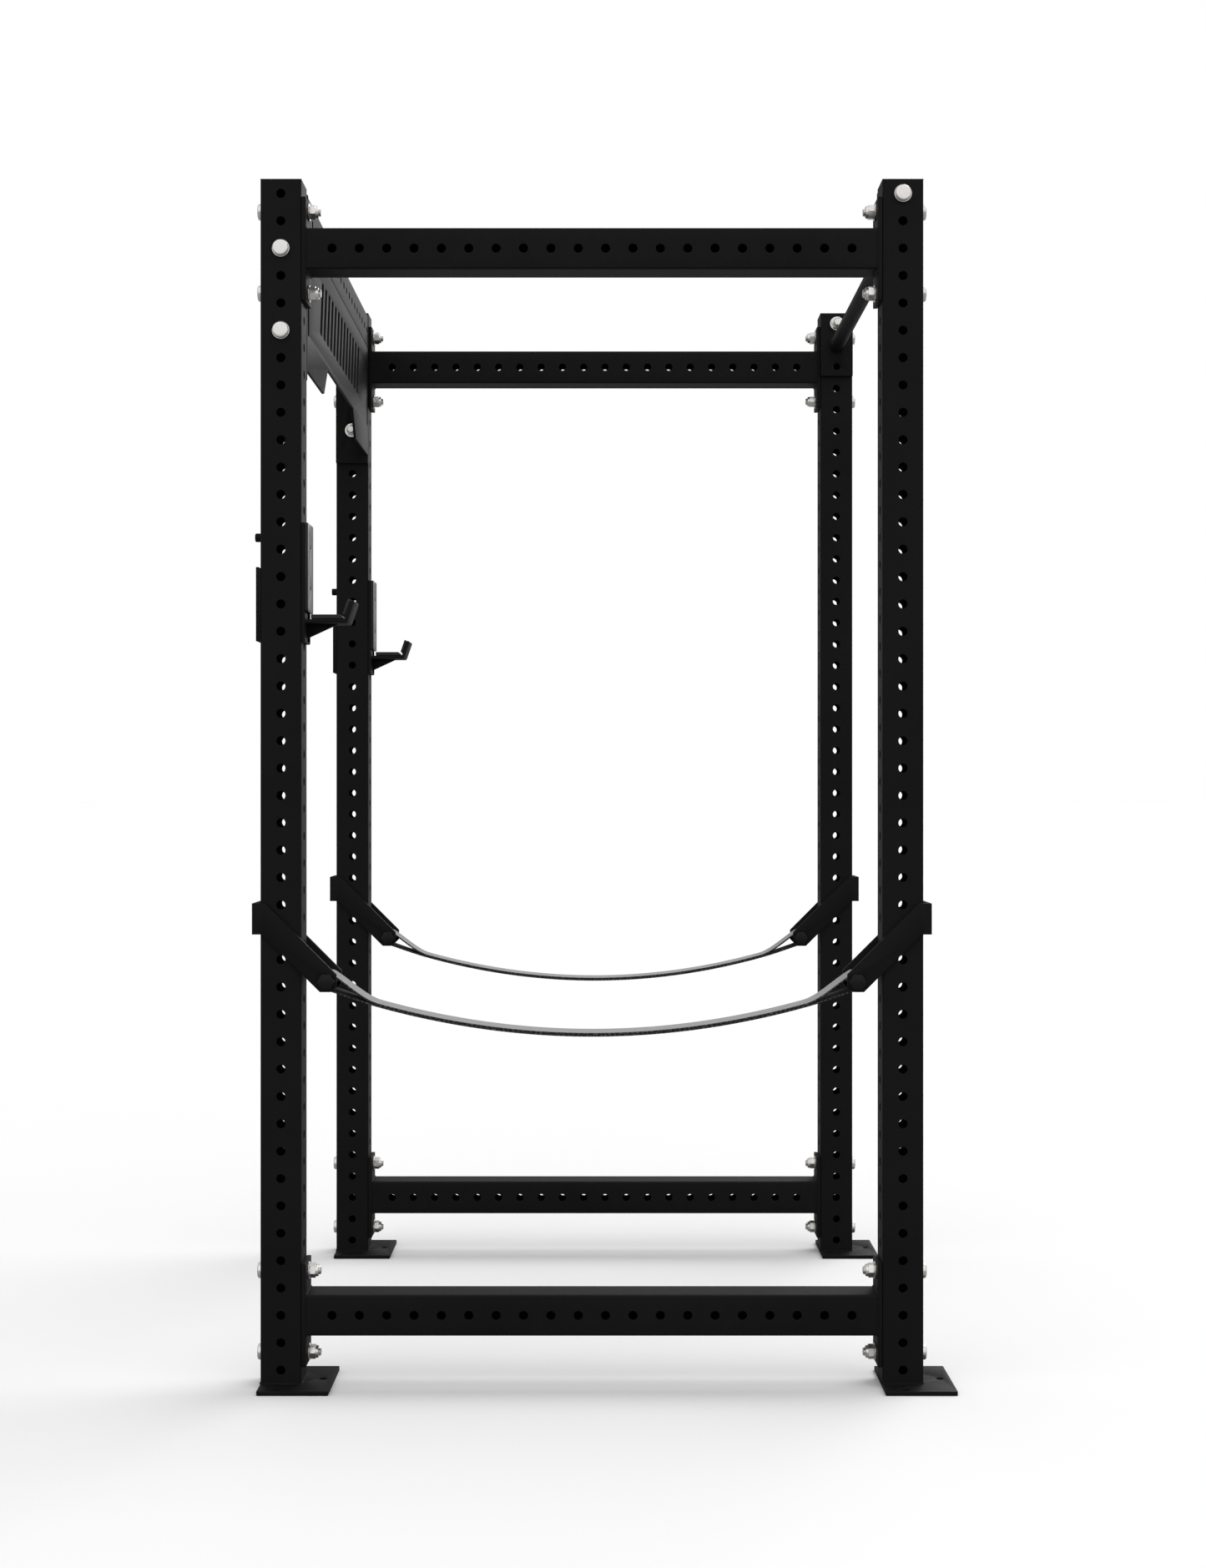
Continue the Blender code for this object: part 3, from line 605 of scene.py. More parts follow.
def flanged_ends(low, high, axis, holes, weld, centre):
    """The flanges at both ends of a member's box, each with a weld bead on its inner face."""
    parts = []
    for way, outer in ((1, low[axis]), (-1, high[axis])):
        inner = outer + way * FLANGE
        near = list(low)
        far = list(high)
        near[axis] = min(outer, inner)
        far[axis] = max(outer, inner)
        parts.append((end_flange("flange", near, far, holes, axis), FLAT))
        spot = Vector(centre)
        spot[axis] = inner
        turn = ALONG_X if axis == 0 else ALONG_Y
        parts.append((bead("weld", weld, Matrix.Translation(spot) @ turn), FLAT))
    return parts


def make_crossmembers():
    """Side members: a perforated tube welded between two flanges."""
    low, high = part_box("crossmember_top_left")
    half = (high[0] - low[0]) / 2 - FLANGE
    start = -MEMBER_HOLES * PITCH / 2
    steps = MEMBER_HOLES * COLUMNS
    heights = [-half] + [start + PITCH * step / COLUMNS for step in range(steps + 1)] + [half]
    holes = [1 + COLUMNS // 2 + COLUMNS * row for row in range(MEMBER_HOLES)]
    tube = perforated_tube("crossmember_tube_mesh", heights, [], holes)
    turn = Matrix.Rotation(math.radians(90), 4, "Y")
    for level in ("top", "bottom"):
        for side in SIDES:
            node = f"crossmember_{level}_{side}"
            low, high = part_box(node)
            centre = middle(node)
            bolts = [(centre.y, centre.z + way * 1.5 * PITCH) for way in (1, -1)]
            parts = [(tube, Matrix.Translation(centre) @ turn)]
            parts += flanged_ends(low, high, 0, bolts, weld_outline(), centre)
            piece(f"{node}_member", joined(f"{node}_mesh", parts), [POWDER], "root", [node])


def weld_outline():
    """Path of the weld round a tube's end, kept inside the width of a flange as wide as the tube."""
    half = TUBE / 2
    return rounded(rectangle((-half, -half - WELD_PROUD), (half, half + WELD_PROUD)), CORNER, WELD_STEPS)


def make_header():
    """The front header: perforated tube, deep flanges, and the cut-out plate under it."""
    low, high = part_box("header_frame")
    tube_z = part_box("header_plate")[1][2] + GAP + TUBE / 2
    centre = Vector(((low[0] + high[0]) / 2, 0, tube_z))
    half = (high[1] - low[1]) / 2 - FLANGE
    edge = (HEADER_HOLES - 1) * PITCH / 2
    steps = (HEADER_HOLES - 1) * COLUMNS
    end_step = (half - edge) / (COLUMNS // 2)
    lead = [-half + end_step * step for step in range(COLUMNS // 2)]
    middle = [-edge + PITCH * step / COLUMNS for step in range(steps + 1)]
    heights = lead + middle + [-height for height in reversed(lead)]
    holes = [COLUMNS // 2 + COLUMNS * row for row in range(HEADER_HOLES)]
    tube = perforated_tube("header_tube_mesh", heights, holes, [])
    turn = Matrix.Rotation(math.radians(90), 4, "X")
    bolts = [(centre.x, TOP_HOLE - row * PITCH) for row in HEADER_ROWS]
    parts = [(tube, Matrix.Translation(centre) @ turn)]
    parts += flanged_ends(low, high, 1, bolts, weld_outline(), centre)
    piece("header_frame_member", joined("header_frame_mesh", parts), [POWDER], "root", ["header_frame"])
    make_header_plate()


LEG_Z = 1.875
STEP_Z = 1.934
LEG_Y = 0.277
STEP_Y = 0.217
WINDOW_LOW = 1.981
WINDOW_HIGH = 2.089
WINDOW_HALF = 0.337
WINDOW_SLOTS = 13
SLOT_SHARE = 0.56
SLOT_SLANT = 0.030
END_SLOT_Y = 0.507
END_SLOT_HALF = 0.009
END_SLOT_LOW = 1.942
END_SLOT_HIGH = 2.074


def make_header_plate():
    """Sheet with a plain grille of slanted slots and a slot at each end."""
    low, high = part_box("header_plate")
    half = [(high[1], high[2]), (high[1], LEG_Z), (LEG_Y, LEG_Z), (STEP_Y, STEP_Z)]
    outline = half + [(-across, up) for across, up in reversed(half)]
    outlines = [rounded(outline, [0.001, 0.004, 0.006, 0.006, 0.006, 0.006, 0.004, 0.001])]
    slot_pitch = 2 * WINDOW_HALF / WINDOW_SLOTS
    half_slot = slot_pitch * SLOT_SHARE / 2
    for number in range(WINDOW_SLOTS):
        foot = (number + 0.5) * slot_pitch - WINDOW_HALF - SLOT_SLANT / 2
        head = foot + SLOT_SLANT
        outlines.append(rounded([(foot - half_slot, WINDOW_LOW), (foot + half_slot, WINDOW_LOW),
                                 (head + half_slot, WINDOW_HIGH), (head - half_slot, WINDOW_HIGH)], 0.005))
    for way in SIDES.values():
        centre = way * END_SLOT_Y
        outlines.append(rounded(rectangle((centre - END_SLOT_HALF, END_SLOT_LOW),
                                          (centre + END_SLOT_HALF, END_SLOT_HIGH)), 0.006))
    thickness = high[0] - low[0]
    place = Matrix.Translation(((low[0] + high[0]) / 2, 0, 0)) @ ALONG_X
    mesh = plate("header_plate_mesh", outlines, thickness, 0.0005, place)
    piece("header_plate_sheet", mesh, [POWDER], "root", ["header_plate"])


PULL_UP_RADIUS = 0.01685
BAR_STEPS = 40


def make_pull_up_bar():
    """The rear pull-up bar between its two bolted plates."""
    low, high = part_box("pull_up_bar")
    centre = middle("pull_up_bar")
    half = Vector((0, (high[1] - low[1]) / 2 - FLANGE, 0))
    path = [(centre - half).lerp(centre + half, step / BAR_STEPS) for step in range(BAR_STEPS + 1)]
    bolts = [(centre.x, TOP_HOLE - row * PITCH) for row in PULL_UP_ROWS]
    weld = circle((0, 0), PULL_UP_RADIUS + WELD_PROUD, TURN_STEPS)
    parts = [(rod("bar", path, PULL_UP_RADIUS, False, 12), FLAT)]
    parts += flanged_ends(low, high, 1, bolts, weld, centre)
    piece("pull_up_bar_member", joined("pull_up_bar_mesh", parts), [POWDER], "root", ["pull_up_bar"])


# ---------------------------------------------------------------- hardware

def lathe(name, rings, materials_at=None):
    """A turned solid from rings bottom to top; a ring is (radius, height) or a function of the angle."""
    work = bmesh.new()
    angles = [2 * math.pi * step / TURN_STEPS for step in range(TURN_STEPS + 1)]

    def spot(ring, angle):
        radius, height = ring(angle) if callable(ring) else ring
        return (radius * math.cos(angle), radius * math.sin(angle), height)

    for number, (first, second) in enumerate(zip(rings, rings[1:])):
        index = materials_at(number) if materials_at else 0
        for start, end in zip(angles, angles[1:]):
            corners = [spot(first, start), spot(first, end), spot(second, end), spot(second, start)]
            add_face(work, corners, index)
    return finished(work, name)


def hex_radius(across_flats, angle):
    """Radius of a hexagon at an angle."""
    sector = math.radians(60)
    return across_flats / 2 / math.cos((angle % sector) - sector / 2)


def hex_rings(across_flats, low, high, chamfer_low, chamfer_high):
    """Rings of a hexagonal prism whose corners are chamfered by a cone at either end."""
    cone = across_flats / 2 * 0.97
    slope = math.tan(math.radians(30))

    def side(height, way, chamfered):
        def at(angle):
            radius = hex_radius(across_flats, angle)
            drop = (radius - cone) * slope if chamfered else 0.0
            return radius, height - way * drop
        return at

    rings = [(cone, low)] if chamfer_low else []
    rings += [side(low, -1, chamfer_low), side(high, 1, chamfer_high)]
    return rings + ([(cone, high)] if chamfer_high else [])


BOLT = 0.008
WASHER_RADIUS = 0.016
WASHER = 0.0025
HEAD_RADIUS = 0.0148
HEAD_HEIGHT = 0.010
HEAD_ROUND = 0.0035
HEAD_CROWN = 0.0006
HEAD_STEPS = 8
NUT_FLATS = 0.024
NUT_HEX = 0.0115
NUT_HEIGHT = 0.016
BOLT_END = 0.0045
THREAD_PITCH = 0.002
THREAD_DEPTH = 0.0009
COLLAR = NUT_FLATS / 2 * 0.94
NYLON_DROP = 0.0009
NYLON_PLAY = 0.0002
END_CHAMFER = 0.0006
END_EASE = 0.0015


def washer_rings(low, high):
    ease = 0.0004
    return [(WASHER_RADIUS - ease, low), (WASHER_RADIUS, low + ease), (WASHER_RADIUS, high - ease),
            (WASHER_RADIUS - ease, high)]


def make_bolts():
    """Through bolts: domed head and washer outside, washer, lock nut and thread end inside."""
    grip = TUBE + FLANGE + GAP
    top = -HEAD_HEIGHT - GAP
    rings = [(0.0, top)]
    for step in range(HEAD_STEPS + 1):
        angle = math.radians(90 * step / HEAD_STEPS)
        rings.append((HEAD_RADIUS - HEAD_ROUND * (1 - math.sin(angle)),
                      top + HEAD_CROWN + HEAD_ROUND * (1 - math.cos(angle))))
    rings.append((HEAD_RADIUS, -GAP - WASHER))
    rings += washer_rings(-GAP - WASHER, -GAP)
    rings += [(BOLT, -GAP), (BOLT, grip + GAP)]
    rings += washer_rings(grip + GAP, grip + GAP + WASHER)
    nut_low = grip + GAP + WASHER
    nut_top = nut_low + NUT_HEIGHT
    rings += hex_rings(NUT_FLATS, nut_low, nut_low + NUT_HEX, True, True)
    rings += [(COLLAR, nut_low + NUT_HEX), (COLLAR, nut_top - 0.0015), (COLLAR - 0.0005, nut_top - 0.0004),
              (COLLAR - 0.0015, nut_top), (COLLAR - 0.0025, nut_top - 0.0002)]
    nylon = range(len(rings) - 1, len(rings) + 1)
    inside = nut_top - NYLON_DROP
    rings += [(BOLT + NYLON_PLAY, inside), (BOLT - THREAD_DEPTH, inside)]
    for turn in range(int(BOLT_END / THREAD_PITCH * 2)):
        rings.append((BOLT - THREAD_DEPTH * (turn % 2), inside + THREAD_PITCH * (turn + 1) / 2))
    tip = nut_top + BOLT_END
    rings += [(BOLT - END_CHAMFER, tip - END_CHAMFER), (BOLT - END_EASE, tip), (0.0, tip)]
    mesh = lathe("through_bolt_mesh", rings, lambda number: int(number in nylon))
    for number, node in enumerate(sorted(frame["nodes"])):
        if node.startswith("bolt_"):
            place_bolt(node, mesh, number)


GOLDEN_TURN = math.radians(137.5)


def place_bolt(node, mesh, number):
    """Put a bolt where its CAD node is: its head's outer face is at the node's outer end."""
    low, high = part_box(node)
    centre = middle(node)
    axis = 0 if high[0] - low[0] > high[1] - low[1] else 1
    outward = Vector((0, 0, 0))
    reference = CAGE_X if axis == 0 else 0.0
    outward[axis] = 1.0 if centre[axis] > reference else -1.0
    head_end = Vector(centre)
    head_end[axis] = high[axis] if outward[axis] > 0 else low[axis]
    seat = head_end - outward * (HEAD_HEIGHT + GAP)
    turn = (-outward).to_track_quat("Z", "Y").to_matrix().to_4x4()
    spin = Matrix.Rotation(number * GOLDEN_TURN, 4, "Z")
    piece(f"{node}_set", mesh, [ZINC, NYLON], "root", [node],
          Matrix.Translation(seat) @ turn @ spin)


# ---------------------------------------------------------------- J-hooks

HOOK_PLATE = 0.006
HOOK_SHELF_TOP = 1.4058
HOOK_SHELF = 0.007
HOOK_REACH = 0.0847
LIP_LEAN = math.radians(19)
LIP_LENGTH = 0.0383
GUSSET_FOOT = 1.3722
GUSSET_REACH = 0.0637
GUSSET = 0.008
SHELF_LINER = 0.008
SHELF_LINER_START = 0.0173
SHELF_LINER_END = 0.076
SHELF_LINER_SLOPE = 0.0058
LIP_LINER = 0.0055
LIP_LINER_START = 0.006
LIP_LINER_SLANT = 0.003
WRAP_LOW = 1.365
WRAP_HIGH = 1.5005
WRAP_PLATE = 0.0078
WRAP_LINER = 0.002
PIN = 0.008
LINER_INSET = 0.002
SCREW_HEIGHTS = (1.539, 1.464)
SCREW_HOLE = 0.0042
SCREW_SEAT = 0.0012


def hook_outline(bottom, top):
    """Side outline of the bent hook plate: distance from the upright's face, and height."""
    shelf_bottom = HOOK_SHELF_TOP - HOOK_SHELF
    out = Vector((math.sin(LIP_LEAN), math.cos(LIP_LEAN)))
    inward = Vector((-math.cos(LIP_LEAN), math.sin(LIP_LEAN)))
    foot = Vector((HOOK_REACH, shelf_bottom + HOOK_SHELF / 2))
    tip = foot + out * LIP_LENGTH
    inner_tip = tip + inward * HOOK_SHELF
    inner_foot_x = inner_tip.x - (inner_tip.y - HOOK_SHELF_TOP) * math.tan(LIP_LEAN)
    back = GAP + HOOK_PLATE
    points = [(GAP, bottom), (back, bottom), (back, shelf_bottom),
              (HOOK_REACH - HOOK_SHELF / 3, shelf_bottom), tuple(foot), tuple(tip), tuple(inner_tip),
              (inner_foot_x, HOOK_SHELF_TOP), (back, HOOK_SHELF_TOP), (back, top), (GAP, top)]
    return rounded(points, [0.001, 0.002, 0.002, 0.003, 0.003, 0.002, 0.002, 0.002, 0.002, 0.002, 0.001])


def make_j_hooks():
    """Two J-hooks: bent steel, gusset, wrap and pin, with plastic liners screwed on."""
    for side in SIDES:
        node = f"j_hook_{side}"
        body = f"j_hook_{side}"
        low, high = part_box(node)
        post_low, post_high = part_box(f"upright_front_{side}")
        face = post_high[0]
        centre_y = (post_low[1] + post_high[1]) / 2
        pad_low, pad_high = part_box(f"j_hook_back_pad_{side}")
        width = pad_high[1] - pad_low[1]
        place = Matrix.Translation((face, centre_y, 0)) @ ALONG_Y
        parts = [(plate("hook", [hook_outline(low[2], high[2])], width, EDGE, place), FLAT)]
        parts.append((hook_gusset(place), FLAT))
        parts.append((hook_wrap(face, post_low, post_high), FLAT))
        swing = next(joint for joint in frame["joints"] if joint["name"] == f"j_hook_{side}_swing")
        pin_z = swing["pos_m"][2]
        pin = pin_mesh(face - low[0] + GAP + HOOK_PLATE / 2)
        spot = Matrix.Translation((low[0], centre_y, pin_z)) @ Matrix.Rotation(math.radians(90), 4, "Y")
        parts.append((pin, spot))
        piece(f"{node}_steel", joined(f"{node}_mesh", parts), [POWDER], body, [node])
        make_hook_liners(side, face, centre_y, width)


def hook_gusset(place):
    """The triangular rib under the shelf."""
    shelf_bottom = HOOK_SHELF_TOP - HOOK_SHELF
    inside = shelf_bottom + HOOK_SHELF / 2
    outline = [(HOOK_PLATE / 2, GUSSET_FOOT), (HOOK_PLATE + GAP, GUSSET_FOOT), (GUSSET_REACH, shelf_bottom),
               (GUSSET_REACH, inside), (HOOK_PLATE / 2, inside)]
    return plate("gusset", [outline], GUSSET, EDGE, place)


def hook_wrap(face, post_low, post_high):
    """The bent strip that wraps the back of the upright, seen from above as a U open to the left."""
    inner_y = post_high[1] + GAP
    outer_y = inner_y + WRAP_PLATE
    front = face + GAP
    back = post_low[0] - GAP
    outer = back - WRAP_PLATE
    inner = back - WRAP_LINER
    centre_y = (post_low[1] + post_high[1]) / 2
    outline = [(front, centre_y), (front + HOOK_PLATE, centre_y), (front + HOOK_PLATE, outer_y),
               (outer, outer_y), (outer, post_low[1]), (inner, post_low[1]), (inner, inner_y),
               (front, inner_y)]
    radii = [0.001, 0.001, 0.007, 0.007, 0.001, 0.001, 0.001, 0.001]
    place = Matrix.Translation((0, 0, (WRAP_LOW + WRAP_HIGH) / 2))
    return plate("wrap", [rounded(outline, radii)], WRAP_HIGH - WRAP_LOW, EDGE, place)


def pin_mesh(length):
    """A round pin along +Z with a chamfered free end."""
    ease = 0.0012
    return lathe("pin", [(0.0, 0.0), (PIN - ease, 0.0), (PIN, ease), (PIN, length), (0.0, length)])


def make_hook_liners(side, face, centre_y, width):
    """The pad on the hook's back and the liners on its shelf, lip and wrap."""
    body = f"j_hook_{side}"
    node = f"j_hook_back_pad_{side}"
    low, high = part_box(node)
    holes = [circle((centre_y, height), SCREW_HOLE, 24) for height in SCREW_HEIGHTS]
    outline = rounded(rectangle((low[1], low[2]), (high[1], high[2])), 0.004)
    place = Matrix.Translation(((low[0] + high[0]) / 2, 0, 0)) @ ALONG_X
    mesh = plate(f"{node}_mesh", [outline] + holes, high[0] - low[0], 0.0010, place)
    piece(f"{node}_liner", mesh, [PLASTIC], body, [node])
    screws = []
    for height in SCREW_HEIGHTS:
        screw = lathe("screw", [(0.0, 0.0), (0.0040, 0.0), (0.0040, 0.0022), (0.0034, 0.0030),
                                (0.0016, 0.0030), (0.0014, 0.0014), (0.0, 0.0014)])
        turn = Matrix.Rotation(math.radians(90), 4, "Y")
        spot = Matrix.Translation((low[0] + SCREW_SEAT, centre_y, height)) @ turn
        screws.append((screw, spot))
    piece(f"j_hook_pad_screws_{side}", joined("pad_screws", screws), [BLACK_OXIDE], body)
    place = Matrix.Translation((face, centre_y, 0)) @ ALONG_Y
    shelf_top = HOOK_SHELF_TOP + GAP
    top = shelf_top + SHELF_LINER
    outline = [(SHELF_LINER_START, shelf_top), (SHELF_LINER_END, shelf_top),
               (SHELF_LINER_END - SHELF_LINER_SLOPE, top), (SHELF_LINER_START, top)]
    mesh = plate("shelf", [rounded(outline, 0.0015)], width, 0.0010, place)
    piece(f"j_hook_shelf_liner_{side}_liner", mesh, [PLASTIC], body, [f"j_hook_shelf_liner_{side}"])
    out = Vector((math.sin(LIP_LEAN), math.cos(LIP_LEAN)))
    inward = Vector((-math.cos(LIP_LEAN), math.sin(LIP_LEAN)))
    steel_face = Vector((HOOK_REACH, HOOK_SHELF_TOP - HOOK_SHELF / 2)) + inward * (HOOK_SHELF + GAP)
    start = steel_face + out * LIP_LINER_START
    finish = steel_face + out * LIP_LENGTH
    outline = [tuple(start), tuple(finish), tuple(finish + inward * LIP_LINER),
               tuple(start + inward * LIP_LINER + out * LIP_LINER_SLANT)]
    mesh = plate("lip", [rounded(outline, 0.0015)], width, 0.0010, place)
    piece(f"j_hook_lip_liner_{side}_liner", mesh, [PLASTIC], body, [f"j_hook_lip_liner_{side}"])
    post_low, post_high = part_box(f"upright_front_{side}")
    back = post_low[0] - GAP
    corners = rectangle((back - WRAP_LINER, post_low[1] + LINER_INSET), (back, post_high[1] - LINER_INSET))
    place = Matrix.Translation((0, 0, (WRAP_LOW + WRAP_HIGH) / 2))
    height = WRAP_HIGH - WRAP_LOW - 2 * LINER_INSET
    mesh = plate("wrap_liner", [rounded(corners, 0.0006)], height, 0.0004, place)
    piece(f"j_hook_wrap_liner_{side}", mesh, [PLASTIC], body)


# ---------------------------------------------------------------- strap brackets

ARM = 0.008
ARM_WIDTH = 0.044
ARM_REACH = 0.018
ARM_CHAMFER = 0.010
SADDLE_HALF = 0.0285
BRACKET_PIN = 0.017
SADDLE_STEEL = 0.0080
STRAP_BOLT_FLATS = 0.027
SLEEVE = 0.0125
SLEEVE_PLAY = 0.001
EASE = 0.001


def strap_bolt_centre(end, side):
    """Axis of a strap's cross bolt, in X and Z."""
    low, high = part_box(f"strap_bolt_{end}_{side}")
    return Vector(((low[0] + high[0]) / 2, (low[2] + high[2]) / 2))


def arm_outline(end, side, low, high):
    """Side outline of a bracket's arm: a head over the upright, then 45 degrees down to the cross bolt."""
    way = ENDS[end]
    bolt = strap_bolt_centre(end, side)
    outer = low[0] if way < 0 else high[0]
    top = high[2]
    bottom = top - 2 * SADDLE_HALF
    rise = ARM_WIDTH / math.sqrt(2)
    bolt_across = -way * (bolt.x - outer)
    upper = bolt.y + bolt_across + rise
    lower = bolt.y + bolt_across - rise
    end_low = low[2]
    end_across = bolt_across + ARM_REACH
    points = [(0.0, bottom), (lower - bottom, bottom), (lower - end_low, end_low),
              (end_across - ARM_CHAMFER, end_low), (end_across, end_low + ARM_CHAMFER),
              (end_across, upper - end_across), (upper - top, top), (0.0, top)]
    radii = [0.001, 0.004, 0.003, 0.003, 0.003, 0.003, 0.004, 0.001]
    placed = [(outer - way * across, up) for across, up in points]
    return rounded(placed, radii)


def make_strap_brackets():
    """Four U-shaped brackets over the uprights."""
    for end, way in ENDS.items():
        for side in SIDES:
            node = f"strap_bracket_{end}_{side}"
            body = node
            low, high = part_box(node)
            post_low, post_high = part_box(f"upright_{end}_{side}")
            centre_y = (post_low[1] + post_high[1]) / 2
            bolt = strap_bolt_centre(end, side)
            outline = arm_outline(end, side, low, high)
            parts = []
            for arm_side in (-1, 1):
                arm_y = centre_y + arm_side * (TUBE / 2 + GAP + ARM / 2)
                place = Matrix.Translation((0, arm_y, 0)) @ ALONG_Y
                holes = [circle((bolt.x, bolt.y), HOLE)]
                parts.append((plate("arm", [outline] + holes, ARM, EDGE, place), FLAT))
            outer = low[0] if way < 0 else high[0]
            steel = outer - way * SADDLE_STEEL
            pin_z = high[2] - SADDLE_HALF
            height = 2 * SADDLE_HALF
            inner_y = TUBE / 2 + GAP + ARM / 2
            corners = rectangle((min(outer, steel), centre_y - inner_y),
                                (max(outer, steel), centre_y + inner_y))
            place = Matrix.Translation((0, 0, pin_z))
            parts.append((plate("saddle", [rounded(corners, 0.001)], height, EDGE, place), FLAT))
            liner_face = post_low[0] - GAP if way < 0 else post_high[0] + GAP
            pin_tip = liner_face - way * BRACKET_PIN
            length = abs(pin_tip - steel)
            turn = Matrix.Rotation(math.radians(-90 * way), 4, "Y")
            spot = Matrix.Translation((pin_tip, centre_y, pin_z)) @ turn.inverted()
            parts.append((pin_mesh(length), spot))
            piece(f"{node}_steel", joined(f"{node}_mesh", parts), [POWDER], body, [node])
            ends_x = (min(steel, liner_face), max(steel, liner_face))
            half_y = TUBE / 2 - SLEEVE_PLAY
            corners = rectangle((ends_x[0], centre_y - half_y), (ends_x[1], centre_y + half_y))
            liner = plate("saddle_liner", [rounded(corners, 0.001)], height - 2 * LINER_INSET, EDGE, place)
            piece(f"{node}_liner", liner, [PLASTIC], body)
            make_strap_bolt(end, side)


def make_strap_bolt(end, side):
    """The black cross bolt through a bracket's arms, with its sleeve and nut."""
    node = f"strap_bolt_{end}_{side}"
    low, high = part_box(node)
    centre = middle(node)
    seat = TUBE / 2 + 2 * GAP + ARM
    post = middle(f"upright_{end}_{side}").y
    start = low[1] - post
    finish = high[1] - post
    sleeve = TUBE / 2 - SLEEVE_PLAY
    rings = [(0.0, start)] + hex_rings(STRAP_BOLT_FLATS, start, -seat, True, False)
    rings += [(BOLT, -seat), (BOLT, -sleeve), (SLEEVE - EASE, -sleeve), (SLEEVE, -sleeve + EASE),
              (SLEEVE, sleeve - EASE), (SLEEVE - EASE, sleeve), (BOLT, sleeve), (BOLT, seat)]
    rings += hex_rings(STRAP_BOLT_FLATS, seat, seat + NUT_HEIGHT, False, True)
    rings += [(BOLT, seat + NUT_HEIGHT), (BOLT, finish - EASE), (BOLT - EASE, finish), (0.0, finish)]
    mesh = lathe(f"{node}_mesh", rings)
    turn = Matrix.Rotation(math.radians(-90), 4, "X")
    piece(f"{node}_set", mesh, [BLACK_OXIDE], f"strap_bracket_{end}_{side}", [node],
          Matrix.Translation((centre.x, post, centre.z)) @ turn)


# ---------------------------------------------------------------- straps

LOOP_RADIUS = 0.0128
PLY = 0.0034
STRAP_WIDTH = 0.070
STRAP_LOW = 0.642
STRAP_CURVE = 0.352
MERGE = 0.093
UPPER_LEAN = math.radians(33)
LOWER_LEAN = math.radians(19)
PLY_GAP = 0.0002
SPAN_STEPS = 60
CURVE_STEPS = 16
LOOP_STEPS = 20
RIBS = 28
RIB_DEPTH = 0.00012
SELVEDGE = 0.0012
RIM_ROUND = 0.0003
WEBBING_SHARP = math.radians(50)


def hermite(start, start_slope, finish, finish_slope, share):
    """Point on a smooth curve between two points with given slopes."""
    run = finish[0] - start[0]
    t = share
    height = ((2 * t ** 3 - 3 * t ** 2 + 1) * start[1] + (t ** 3 - 2 * t ** 2 + t) * run * start_slope
              + (3 * t ** 2 - 2 * t ** 3) * finish[1] + (t ** 3 - t ** 2) * run * finish_slope)
    return Vector((start[0] + run * t, height))


def strap_path(bolt_x, bolt_z):
    """Centreline of half a strap: from the middle out along the lower ply, round the bolt and back."""
    merge_x = bolt_x - MERGE
    radius = LOOP_RADIUS + PLY / 2

    def ply_path(rise, lean, way):
        """One ply from the middle to the loop, which it meets underneath for -1 or on top for 1."""
        def hang(across):
            return Vector((across, STRAP_LOW + STRAP_CURVE * across ** 2 + rise))

        end = Vector((bolt_x - way * radius * math.sin(lean), bolt_z + way * radius * math.cos(lean)))
        slope = 2 * STRAP_CURVE * merge_x
        points = [hang(merge_x * step / SPAN_STEPS) for step in range(SPAN_STEPS)]
        return points + [hermite(hang(merge_x), slope, end, math.tan(lean), step / CURVE_STEPS)
                         for step in range(CURVE_STEPS)]

    first = LOWER_LEAN - math.pi / 2
    last = UPPER_LEAN + math.pi / 2
    loop = []
    for step in range(LOOP_STEPS + 1):
        angle = first + (last - first) * step / LOOP_STEPS
        loop.append(Vector((bolt_x + radius * math.cos(angle), bolt_z + radius * math.sin(angle))))
    upper = ply_path(PLY * 1.5 + PLY_GAP, UPPER_LEAN, 1)
    return ply_path(PLY / 2, LOWER_LEAN, -1) + loop + list(reversed(upper))


def webbing_section():
    """Ribbed section of the webbing, as (across, thickness): outer face, selvedge, inner face, selvedge."""
    half = STRAP_WIDTH / 2
    thick = PLY / 2
    top = [((half - SELVEDGE) * (2 * rib / RIBS - 1), thick - RIB_DEPTH * (rib % 2))
           for rib in range(RIBS + 1)]
    rim = [(half - RIM_ROUND, thick * 0.55), (half, 0.0), (half - RIM_ROUND, -thick * 0.55)]
    bottom = [(across, -height) for across, height in reversed(top)]
    return top + rim + bottom + [(-across, -height) for across, height in rim]


